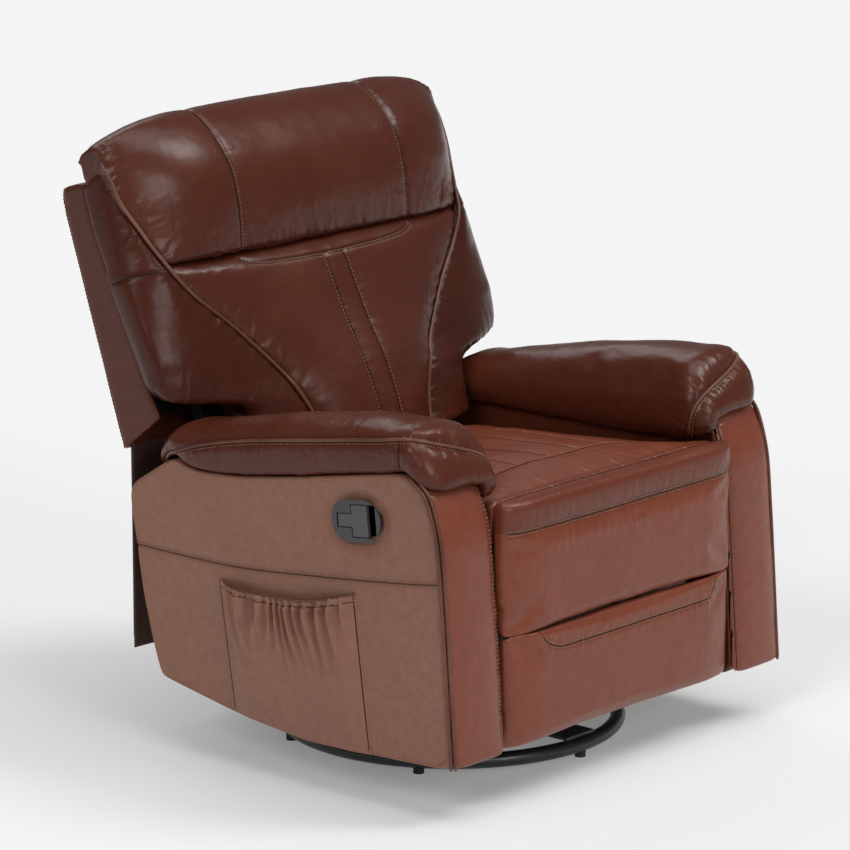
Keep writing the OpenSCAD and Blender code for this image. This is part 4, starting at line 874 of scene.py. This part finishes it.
def buildPocket():
    cols, rows = pocket["cols"], pocket["rows"]
    spots = [pocketAt(f, t) for t in np.linspace(0, 1, rows) for f in np.linspace(0, 1, cols)]
    obj = meshFrom("pocket", [p for p, _ in spots], gridFaces(rows, cols, False))

    def faceOut(bm):
        bmesh.ops.recalc_face_normals(bm, faces=bm.faces)
        if sum(f.normal.x for f in bm.faces) > 0:
            bmesh.ops.reverse_faces(bm, faces=bm.faces)
    meshEdit(obj, faceOut)
    tree = surfaceTree(obj)
    # the fold valleys' painted shade
    paintShade(obj, [v for _, v in spots])
    thicken(obj, pocket["wall"], -1)
    settle(obj, "chassis", "arm", "leather_arm", "side_pocket")
    hemLine = pocketLine([(f, pocket["hem"]) for f in np.linspace(0.01, 0.99, 60)])
    seamLine(tree, hemLine, "chassis", 0.7)
    stitchRow(tree, hemLine, "chassis", -2.5, 3.2, 1.6)
    for f, side, radius in ((0.012, -1, 1.0), (0.988, 1, 0.8)):
        edgeLine = pocketLine([(f, t) for t in np.linspace(0.02, 1, 40)])
        seamLine(tree, edgeLine, "chassis", radius)
        stitchRow(tree, edgeLine, "chassis", 3 * side, 3.6, 1.8)
    top = np.array(pocketLine([(f, 1.0) for f in np.linspace(0, 1, 60)[::6]]))
    pipe(None, through(top + (0.5, 0, 0), 6), "chassis", 2.1)


# each level of the back: height, cushion's face, piping's side and depth, wing's side and depth, rear
backLevels = np.array([
    (0.022, 0.035, 0.3, 0.125, 0.63, 0.2, 0.36), (0.055, 0.05, 0.315, 0.15, 0.632, 0.22, 0.385),
    (0.11, 0.07, 0.345, 0.182, 0.632, 0.24, 0.415), (0.165, 0.1, 0.38, 0.208, 0.632, 0.26, 0.441),
    (0.195, 0.122, 0.405, 0.225, 0.68, 0.275, 0.465), (0.216, 0.135, 0.42, 0.235, 0.955, 0.37, 0.48),
    (0.256, 0.165, 0.455, 0.27, 0.995, 0.392, 0.508), (0.336, 0.228, 0.555, 0.325, 1, 0.42, 0.561),
    (0.42, 0.294, 0.672, 0.382, 1, 0.478, 0.616), (0.5, 0.352, 0.8, 0.435, 1, 0.545, 0.67),
    (0.545, 0.385, 0.85, 0.46, 0.998, 0.585, 0.7), (0.575, 0.412, 0.885, 0.478, 0.992, 0.61, 0.72),
    (0.64, 0.44, 0.93, 0.54, 0.985, 0.66, 0.764), (0.765, 0.45, 1, 0.65, 0.982, 0.73, 0.838),
    (0.84, 0.48, 1.012, 0.705, 0.982, 0.775, 0.85), (0.9, 0.54, 1.018, 0.735, 0.982, 0.8, 0.845),
    (0.945, 0.63, 1.02, 0.75, 0.982, 0.795, 0.825)])
headShares = [(0.425, 0.592), (0.55, 0.592), (0.722, 0.592), (0.758, 0.634), (0.815, 0.73), (0.85, 0.83),
              (0.868, 0.9), (0.84, 0.952), (0.79, 0.982), (0.735, 0.99), (0.67, 0.972), (0.59, 0.93), (0.528, 0.885),
              (0.48, 0.83), (0.45, 0.762), (0.435, 0.7), (0.43, 0.64)]


def levelAt(share):
    return np.array([np.interp(share, backLevels[:, 0], backLevels[:, k]) for k in range(7)])


def zOf(share):
    return chair["backLow"] + share * chair["backHigh"]


def yOf(share):
    return chair["backFront"] + share * chair["backDeep"]


def pipingAt(share):
    l = levelAt(share)
    return np.array([l[2] * chair["shellHalf"], yOf(l[3]), zOf(share)])


backPiping = evenly(through(
    [pipingAt(s) for s in (0.03, 0.11, 0.165, 0.216, 0.256, 0.336, 0.42, 0.5, 0.575, 0.64, 0.7, 0.765, 0.83)] +
    [(x, yOf(a), zOf(b)) for x, a, b in ((407, 0.735, 0.864), (404, 0.752, 0.882), (399, 0.79, 0.894),
                                         (395, 0.835, 0.885))], 8), 5)


def behind(co, margin):
    return co[:, 1] > np.interp(co[:, 2], zOf(backLevels[:, 0]), yOf(backLevels[:, 6])) - margin


def nearPiping(co):
    return nearPath(co, [backPiping, mirrorX(backPiping)], 50)[0] < 9


def spread(count, share):
    # places from -1 to 1 across a cushion, closer together at its two ends
    return np.sin(np.linspace(-1, 1, count) * math.pi / 2 * share) / math.sin(math.pi / 2 * share)


head = {"low": 0.592, "seam": 204, "cut": 0.84}


def buildHeadrest():
    ring = soften(headShares, 2)
    rings = []
    for f in spread(95, 0.93):
        e = abs(f) ** 6
        row = []
        for sy, sz in ring:
            l = levelAt(sz)
            front = sy < l[6] - 0.1
            y = sy * (1 - e) + (max(l[3], sy) if front else sy) * e
            row.append((f * (l[2] * chair["shellHalf"] + 3), yOf(y) - (0 if front else 0.5),
                        zOf(sz) - max(sz - head["cut"], 0) * 0.5 * e * chair["backHigh"]))
        rings.append(row)
    obj = ringLoft("headrestPad", rings)

    def pinned(co):
        x = np.abs(co[:, 0])
        low = co[:, 2] < zOf(head["low"]) + 5
        return pins(behind(co, 12) | low | nearPiping(co) | (x > 398), np.abs(x - head["seam"]) < 5)
    return softPiece(obj, pinned, pressure=3.0, cap=9, voxel=6.5)


def headLine(x):
    return evenly(through([(x, yOf(a), zOf(b)) for a, b in [(0.425, 0.6)] + headShares[:5:-1]], 5), 4)


def finishHeadrest(obj):
    seams = [headLine(head["seam"]), headLine(-head["seam"])]
    edge = backPiping[backPiping[:, 2] > zOf(head["low"])]
    bottom = [(x, yOf(0.43), zOf(0.6)) for x in np.linspace(-350, 350, 60)]
    tree = dress(obj, [seam(seams, depth=2.6, width=6, reach=70, tuck=1.5, gather=0.7, pitch=30, fade=26),
                       seam([edge, mirrorX(edge)], depth=1.0, width=6, reach=80, gather=2.0, pitch=22, fade=24),
                       seam([bottom], depth=0, width=6, reach=120, gather=1.5, pitch=44, fade=42)],
                 swell=2.6, swellSize=170, crease=0.45, seed=11)
    finishSoft(obj, "back", "back", "leather_back", "headrest")
    for s, off in zip(seams, (3.4, -3.4)):
        sew(tree, s, "back", 0.8, off)


cushion = {"centre": 23, "yoke": [(-204, 786), (-190, 778), (-150, 773), (-75, 770), (0, 769), (75, 770), (150, 773),
                                  (190, 778), (204, 786)]}


def cushionY(level, across):
    return yOf(level[1] * (1 - across ** 3) + level[3] * across ** 3)


def backFace(x, z):
    l = levelAt((z - chair["backLow"]) / chair["backHigh"])
    return (x, cushionY(l, min(1, abs(x) / (l[2] * chair["shellHalf"]))), z)


def buildBackCushion():
    rings = []
    for s in np.concatenate([np.linspace(0.024, 0.55, 60), np.linspace(0.556, 0.5915, 6)]):
        l = levelAt(s)
        px, rear, z = l[2] * chair["shellHalf"] + 3, yOf(l[6]) - 0.5, zOf(s)
        tuck = 16 * np.clip((s - 0.562) / 0.03, 0, 1) ** 1.5
        row = [(c * px, cushionY(l, abs(c)) + tuck, z) for c in np.linspace(-1, 1, 75)]
        rings.append([(-px, rear, z)] + row + [(px, rear, z)])
    obj = ringLoft("backCushionPad", rings)

    def pinned(co):
        ends = (co[:, 2] > zOf(0.585)) | (co[:, 2] < zOf(0.022) + 8)
        return pins(behind(co, 14) | ends | nearPiping(co), np.abs(np.abs(co[:, 0]) - cushion["centre"]) < 5)
    return softPiece(obj, pinned, pressure=3.0, cap=10, voxel=6)


def finishBackCushion(obj):
    centre = [[backFace(x, z) for z in np.linspace(767, 500, 50)] for x in (cushion["centre"], -cushion["centre"])]
    yokeLine = np.array([backFace(x, z) for x, z in evenly(through(cushion["yoke"], 6), 5)])
    edge = backPiping[backPiping[:, 2] < zOf(0.6)]
    tree = dress(obj, [seam(centre, depth=1.7, width=4.5, reach=60, tuck=1.0, gather=0.5, pitch=26, fade=20),
                       seam([yokeLine], depth=1.6, width=5, reach=60),
                       seam([edge, mirrorX(edge)], depth=1.2, width=6, reach=80, gather=1.1, pitch=34, fade=30)],
                 swell=2.6, swellSize=150, crease=0.4, seed=17)
    finishSoft(obj, "back", "back", "leather_back", "back_cushion")
    for s, off in zip(centre, (3.4, -3.4)):
        sew(tree, s, "back", 0.8, off)
    for off in (0, -6):
        stitchRow(tree, yokeLine, "back", off)
    seamLine(tree, yokeLine + (0, 0, 3), "back", 0.7)


# "face" runs across the wing: share of its width, share of its depth, share of its fullness
bolster = {"face": [(0, 0, 0), (0.12, 0.08, 0.7), (0.35, 0.22, 1.2), (0.6, 0.42, 1.1), (0.82, 0.66, 0.8),
                    (0.95, 0.86, 0.3), (1, 1, 0)],
           "cross": [(425, 379, 754), (420, 342, 770), (402, 300, 784), (380, 274, 791)],
           "under": [(250, 222, 562), (300, 232, 566), (350, 248, 572), (400, 262, 580), (417, 300, 584)]}


def buildBolster():
    rings = []
    for s in np.linspace(backLevels[0, 0], backLevels[-1, 0], 84):
        l = levelAt(s)
        x0, y0 = l[2] * chair["shellHalf"] - 2 - 12 * np.clip((s - 0.6) / 0.2, 0, 1), yOf(l[3])
        x1, y1 = max(l[4] * chair["halfWidth"], x0 + 8), yOf(l[5])
        w, rear = x1 - x0, yOf(l[6]) - 0.5
        puff = min(w / 6, 9)
        face = [(x0 + a * w, y0 * (1 - b) + y1 * b - c * puff) for a, b, c in bolster["face"]]
        face = soften(face, 2, closed=False)
        rings.append([(a, b, zOf(s)) for a, b in face.tolist() + [
            (x1, (y1 + rear) / 2), (max(x0 + 0.96 * w, x1 - 10), rear), (x0, rear), (x0, y0 * 0.6 + rear * 0.4)]])
    obj = ringLoft("bolster_left", rings)
    # the top is cut slantwise, so that it leaves no thin edge
    co = coordsOf(obj)
    high = zOf(0.862) - 0.9 * np.maximum(co[:, 0] - 390, 0) - 0.9 * np.maximum(co[:, 1] - yOf(0.76), 0)
    co[:, 2] -= np.maximum(co[:, 2] - high, 0) * 0.92
    setCoords(obj, co)

    def pinned(co):
        inner = co[:, 0] < np.interp(co[:, 2], zOf(backLevels[:, 0]), backLevels[:, 2] * chair["shellHalf"]) + 6
        return pins(behind(co, 10) | inner | (co[:, 2] > zOf(0.9)))
    return softPiece(obj, pinned, pressure=2.4, cap=8, voxel=5.5)


def finishBolsters(obj):
    for o, side, label in pair(obj, "bolster"):
        edge = backPiping * (side, 1, 1)
        cross = evenly(through(bolster["cross"], 6), 4) * (side, 1, 1)
        under = np.array(bolster["under"]) * (side, 1, 1)
        tree = dress(o, [seam([cross], depth=1.6, width=4, reach=40),
                         seam([edge], depth=0.8, width=6, reach=70, gather=1.2, pitch=30, fade=26),
                         seam([under], depth=1.0, width=5, reach=70, gather=1.8, pitch=34, fade=30)],
                     swell=2.6, swellSize=130, crease=0.4, seed=23 + side)
        # the bolsters wear the darker copy of the back leather, painted shade
        finishSoft(o, "back", "wing", "leather_back", "back_bolster_" + label)
        seamLine(tree, cross, "back", 0.9)
        pipe(None, evenly(edge, 6) + (side * -0.5, -3.5, 0), "back", 3.3)


shell = {"rear": [(0.652, 0.055), (0.72, 0.19), (0.75, 0.256), (0.83, 0.42), (0.922, 0.61), (0.96, 0.693),
                  (0.985, 0.76), (0.98, 0.785)], "half": 401, "voxel": 5.0}


def buildShell():
    obj = newObject("backShellPad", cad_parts["back_shell"].data.copy())
    remesh(obj, shell["voxel"], 10)
    co = coordsOf(obj)
    seams = [[(x, yOf(a) - 4, zOf(b)) for a, b in shell["rear"]] for x in (-shell["half"], shell["half"])]
    tree = surfaceTree(obj)
    dist = seamDistance(tree, co, seams, 40)[0]
    pushOut(obj, co, 0.9 * noiseAt(co, 160, 31) + 0.3 * noiseAt(co, 40, 33, 3) - 1.3 * bell(dist, 4))
    # painted shade along the side seams' grooves
    paintShade(obj, bell(dist, 5))
    obj.data.shade_smooth()
    tree = surfaceTree(obj)
    finishSoft(obj, "back", "back", "leather_back", "back_shell")
    for p in seams:
        sew(tree, p, "back", 0.9, 3.2, -3.2)
    sew(tree, [(x, 480, zOf(0.6)) for x in np.linspace(-395, 395, 60)], "back", 0.8, 3.2)


skirt = {"half": 384, "top": 492, "y": 355.5, "high": 344.7, "fold": 5, "wall": 2.4, "hem": 18, "cols": 120,
         "rows": 64}


def buildSkirt():
    grid = []
    for k in np.linspace(0, 1, skirt["rows"]):
        for f in np.linspace(-1, 1, skirt["cols"]):
            fold = skirt["fold"] * k * (1 + math.cos(2 * math.pi * 1.5 * f)) / 2
            ripple = abs(3.4 * noiseOf(f * 6, k * 0.9, 4.4) * k ** 0.8 * (1 - 0.3 * k))
            hem = 0.8 if k > 1 - skirt["hem"] / skirt["high"] else 0
            grid.append((f * skirt["half"], skirt["y"] + 1.5 - fold - ripple - hem, skirt["top"] - k * skirt["high"]))
    obj = outward(meshFrom("rearSkirt", grid, gridFaces(skirt["rows"], skirt["cols"], False)))
    thicken(obj, skirt["wall"], 0)
    settle(obj, "skirt", "skirt", "skirt_cloth", "back_skirt")
    hemLine = [(x, skirt["y"] + 12, skirt["top"] - skirt["high"] + skirt["hem"]) for x in np.linspace(-380, 380, 60)]
    stitchRow(surfaceTree(obj), hemLine, "skirt")


seat = {
    "shares": [(0, 0), (0.5, 0), (1, 0), (1, 0.3), (0.985, 0.48), (0.94, 0.56), (0.86, 0.585), (0.8, 0.62),
               (0.77, 0.68), (0.67, 0.74), (0.5, 0.81), (0.367, 0.88), (0.26, 0.925), (0.167, 0.965), (0.083, 0.99),
               (0.025, 0.985), (0, 0.93), (0, 0.5)],
    "front": -329.7, "rear": 190, "low": 401.3, "top": 492, "drop": 34,
    "seams": [[(-200, -212), (-131, -212), (-60, -206), (22, -212), (110, -206), (200, -212)],
              [(-150, -206), (-170, -120), (-182, -20), (-186, 60)],
              [(150, -206), (170, -120), (182, -20), (186, 60)]]}


def buildSeatCushion():
    ring = soften(seat["shares"], 2)
    l, h = seat["rear"] - seat["front"], seat["top"] - seat["low"]
    rings = []
    for f in spread(70, 0.96):
        e = abs(f) ** 5
        end = 1 - 0.3 * max(0, (abs(f) - 0.97) / 0.03) ** 2
        rings.append([(f * (chair["seatHalf"] - 1 - max(b, 0) ** 6 * 3), seat["front"] + a * l,
                       seat["low"] + b * end * (h - min(1, a / 0.15) * e * seat["drop"])) for a, b in ring])
    obj = ringLoft("seatPad", rings)

    def pinned(co):
        x, y, z = co.T
        return pins((z < seat["low"] + 26) | (np.abs(x) > 280) | (y < seat["front"] + 8) | (y > 150))
    return softPiece(obj, pinned, pressure=2.4, cap=8, voxel=6)


def finishSeatCushion(obj):
    wide = [[(x, y, 500) for x, y in evenly(through(s, 8), 4)] for s in seat["seams"]]
    fine = [[(x, y, 500) for y in np.linspace(-200, 60, 60)] for x in (-75, 0, 75)]
    front = [(x, -322, 495) for x in np.linspace(-284, 284, 90)]
    tree = dress(obj, [seam(wide, depth=2.2, width=5, reach=60, tuck=1.0, gather=0.7, pitch=24, fade=22),
                       seam(fine, depth=1.3, width=4, reach=40, tuck=0.5),
                       seam([front], depth=0, width=6, reach=100, gather=1.0, pitch=38, fade=44)],
                 swell=2.0, swellSize=130, crease=0.35, seed=29)
    finishSoft(obj, "seat", "seat", "leather_arm", "seat_cushion")
    for s in wide:
        sew(tree, s, "seat", 1.0, 3.2)
    for s in fine:
        seamLine(tree, s, "seat", 0.8)


def facePanel(name, d):
    # an upright padded panel that is squarer and flatter at its two ends
    ring = soften(d["shares"], 2)
    rings = []
    for f in spread(80, 0.97):
        e = abs(f) ** d["square"]
        flat, short = d["flat"] * e, d["short"] * e
        rings.append([(f * d["half"], d["front"] + (a * (1 - flat) + d["edge"] * flat) * d["thick"],
                       d["low"] + (b * (1 - short) + 0.5 * short) * (d["high"] - d["low"])) for a, b in ring])
    return ringLoft(name, rings)


seatFace = {
    "shares": [(0.3, 0.012), (0.95, 0.05), (0.985, 0.4), (0.985, 0.8), (0.985, 0.975), (0.6, 1), (0.15, 0.995),
               (-0.12, 0.965), (-0.2, 0.9), (-0.12, 0.81), (-0.02, 0.76), (-0.06, 0.7), (-0.08, 0.5), (-0.07, 0.16),
               (-0.07, 0.07), (-0.065, 0.025), (-0.05, 0.004), (0.02, 0), (0.12, 0)],
    "half": 289, "low": 270.5, "high": 492, "front": -366, "thick": 36, "square": 14, "edge": 0.95, "flat": 0.4,
    "short": 0.02, "band": 439}
foot = {
    "shares": [(0.35, 0), (0.97, 0.02), (0.98, 0.5), (0.98, 0.915), (0.72, 0.93), (0.35, 0.985), (0.12, 1.0),
               (-0.02, 1.0), (-0.1, 0.992), (-0.13, 0.96), (-0.14, 0.88), (-0.14, 0.75), (-0.15, 0.5), (-0.12, 0.3),
               (-0.05, 0.1), (0.08, 0.02)],
    "half": 286, "low": 89, "high": 277.8, "front": -366, "thick": 29, "square": 12, "edge": 0.98, "flat": 0.45,
    "short": 0.03,
    "flap": [(-214, 268), (-208, 258), (-190, 246), (-168, 240), (-156, 238.5), (0, 238), (201, 238.5), (213, 241),
             (224, 250), (229, 268)]}


def buildSeatFront():
    def pinned(co):
        return pins(co[:, 1] > -334, np.abs(co[:, 2] - seatFace["band"]) < 5)
    return softPiece(facePanel("seatFrontPad", seatFace), pinned, pressure=2.4, cap=6, voxel=5.5)


def buildFootPad():
    def pinned(co):
        return pins(co[:, 1] > -340)
    return softPiece(facePanel("footrestPad", foot), pinned, pressure=2.4, cap=5, voxel=5.5)


def finishSeatFront(obj):
    across = np.linspace(-286, 286, 110)
    line = [(x, -370, 438) for x in across]
    tree = dress(obj, [seam([line], depth=2.2, width=6, reach=110, gather=0.7, pitch=20, fade=46)],
                 swell=1.8, swellSize=130, crease=0.35, seed=37)
    finishSoft(obj, "seat", "seat", "leather_arm", "seat_front")
    upper = coordsOf(obj)[:, 2] > seatFace["band"]
    secondLook(obj, "band", lambda v: upper[list(v)].all())
    sew(tree, line, "seat", 0.8, 3.4, -3.4)
    seamLine(tree, [(x, -345, 494) for x in across], "seat", 1.0)


def finishFootPad(obj):
    flap = [(x, -372, z) for x, z in evenly(through(foot["flap"], 6), 4)]
    tree = dress(obj, [seam([flap], depth=1.8, width=5, reach=70, gather=0.9, pitch=18, fade=18)],
                 swell=1.8, swellSize=130, crease=0.35, seed=41)
    finishSoft(obj, "footrest", "seat", "leather_arm", "footrest_pad")
    sew(tree, flap, "footrest", 0.8, 3.0, -3.0)


print("building soft pieces")
pieces = {"headrest": buildHeadrest(), "backCushion": buildBackCushion(), "bolster": buildBolster(),
          "pillow": buildPillow(), "armFront": buildArmFronts(), "seatPad": buildSeatCushion(),
          "seatFront": buildSeatFront(), "footPad": buildFootPad()}
print("simulating")
runSimulation()
finishHeadrest(pieces["headrest"])
finishBackCushion(pieces["backCushion"])
finishBolsters(pieces["bolster"])
print("back dressed")
finishPillows(pieces["pillow"])
finishArmFronts(pieces["armFront"])
buildArms()
buildPocket()
print("arms dressed")
finishSeatCushion(pieces["seatPad"])
finishSeatFront(pieces["seatFront"])
finishFootPad(pieces["footPad"])
buildShell()
buildSkirt()
print("seat and rear dressed")

# seam lines, stitches and piping, one object of each kind on each body
for body, parts in stitchParts.items():
    for kind, look in (("line", "line"), ("stitch", "thread"), ("cord", "piping")):
        if parts[kind]:
            o = joined(kind + "_" + body, parts[kind])
            o.data.attributes.new("seamShade", "FLOAT", "POINT")
            settle(o, body, look, "leather_welt", *(["arm_welts"] if (kind, body) == ("cord", "chassis") else []))
print("stitching made")


def sides(*names):
    return " ".join(name + end for name in names for end in ("_left", "_right"))


# the hard parts keep their shape and get finishes and soft edges
links = " ".join("scissor_link_%d" % k for k in range(1, 7))
finishes = {
    "black": "base_ring base_spokes rocker_beam cross_tube_front cross_tube_rear back_rails torque_tube " +
             sides("rocker_rail", "rocker_cam", "back_post"),
    "zinc": "swivel_lower_plate swivel_upper_plate king_bolt king_nut rocker_springs latch_pawl footrest_brackets " +
            "seat_springs back_springs arm_bolts " + sides("side_plate") + " " + links,
    "rubber": "ring_glides", "nylon": "bearing_ring rocker_pads",
    "wood": "footrest_board seat_crossrails " + sides("arm_frame", "seat_rail"),
    "plastic": "handle_bezel", "lever": "release_lever", "cable": "release_cable"}
# width of the softened edges, in metres
edges = {0.0012: "handle_bezel release_lever base_spokes", 0.0006: sides("side_plate"),
         0.0005: "footrest_brackets", 0.001: sides("rocker_cam", "arm_frame"),
         0.0015: "cross_tube_front cross_tube_rear footrest_board " + sides("seat_rail")}
bevel = {"segments": 2, "angle": math.radians(40)}
for look, names in finishes.items():
    for name in names.split():
        useLook(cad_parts[name], look)
for width, names in edges.items():
    for name in names.split():
        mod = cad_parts[name].modifiers.new("edges", "BEVEL")
        mod.width, mod.segments = width, bevel["segments"]
        mod.limit_method, mod.angle_limit = "ANGLE", bevel["angle"]
print("hard parts finished")

# each lamp: the side it shines from, its height, power, spread and colour
studio = {"paper": (0.595, 0.6, 0.605), "paperLight": (0.615, 0.617, 0.622), "paperGlow": 0.2, "half": 14000,
          "world": (0.96, 0.98, 1.0), "worldPower": 0.17,
          "lamps": {"overhead": (0, 84, 1.2, 46, (1, 1, 1)), "key": (-82, 36, 1.0, 24, (1, 0.985, 0.96)),
                    "front": (-14, 24, 0.8, 22, (1, 0.98, 0.95)), "sheen": (44, 52, 1.1, 20, (1, 0.99, 0.97)),
                    "behind": (150, 40, 0.35, 30, (1, 1, 1))}}
corners = [(x * studio["half"], y * studio["half"], 0) for x, y in ((-1, -1), (1, -1), (1, 1), (-1, 1))]
floor = meshFrom("studioFloor", corners, [(0, 1, 2, 3)])
m, t, shader = newMaterial("studio paper")
paper = noiseTex(t, objectPlace(t), 1.2, 2.0)
wire(t, shader, {"Base Color": blendColor(t, paper, studio["paper"], studio["paperLight"]), "Roughness": 0.8,
                 "Specular IOR Level": 0.1, "Emission Color": (1, 1, 1, 1), "Emission Strength": studio["paperGlow"]})
floor.data.materials.append(m)

scene.world = bpy.data.worlds.new("studio")
scene.world.use_nodes = True
sky = scene.world.node_tree
wire(sky, sky.nodes["Background"].inputs, {"Color": studio["world"] + (1,), "Strength": studio["worldPower"]})
for name, (around, above, power, wide, colour) in studio["lamps"].items():
    data = bpy.data.lights.new(name, "SUN")
    data.energy, data.angle, data.color = power, math.radians(wide), colour
    a, e = math.radians(around), math.radians(above)
    turnTo(newObject(name, data), (-math.sin(a) * math.cos(e), math.cos(a) * math.cos(e), -math.sin(e)))
scene.view_settings.view_transform = "Standard"
print("studio lit")
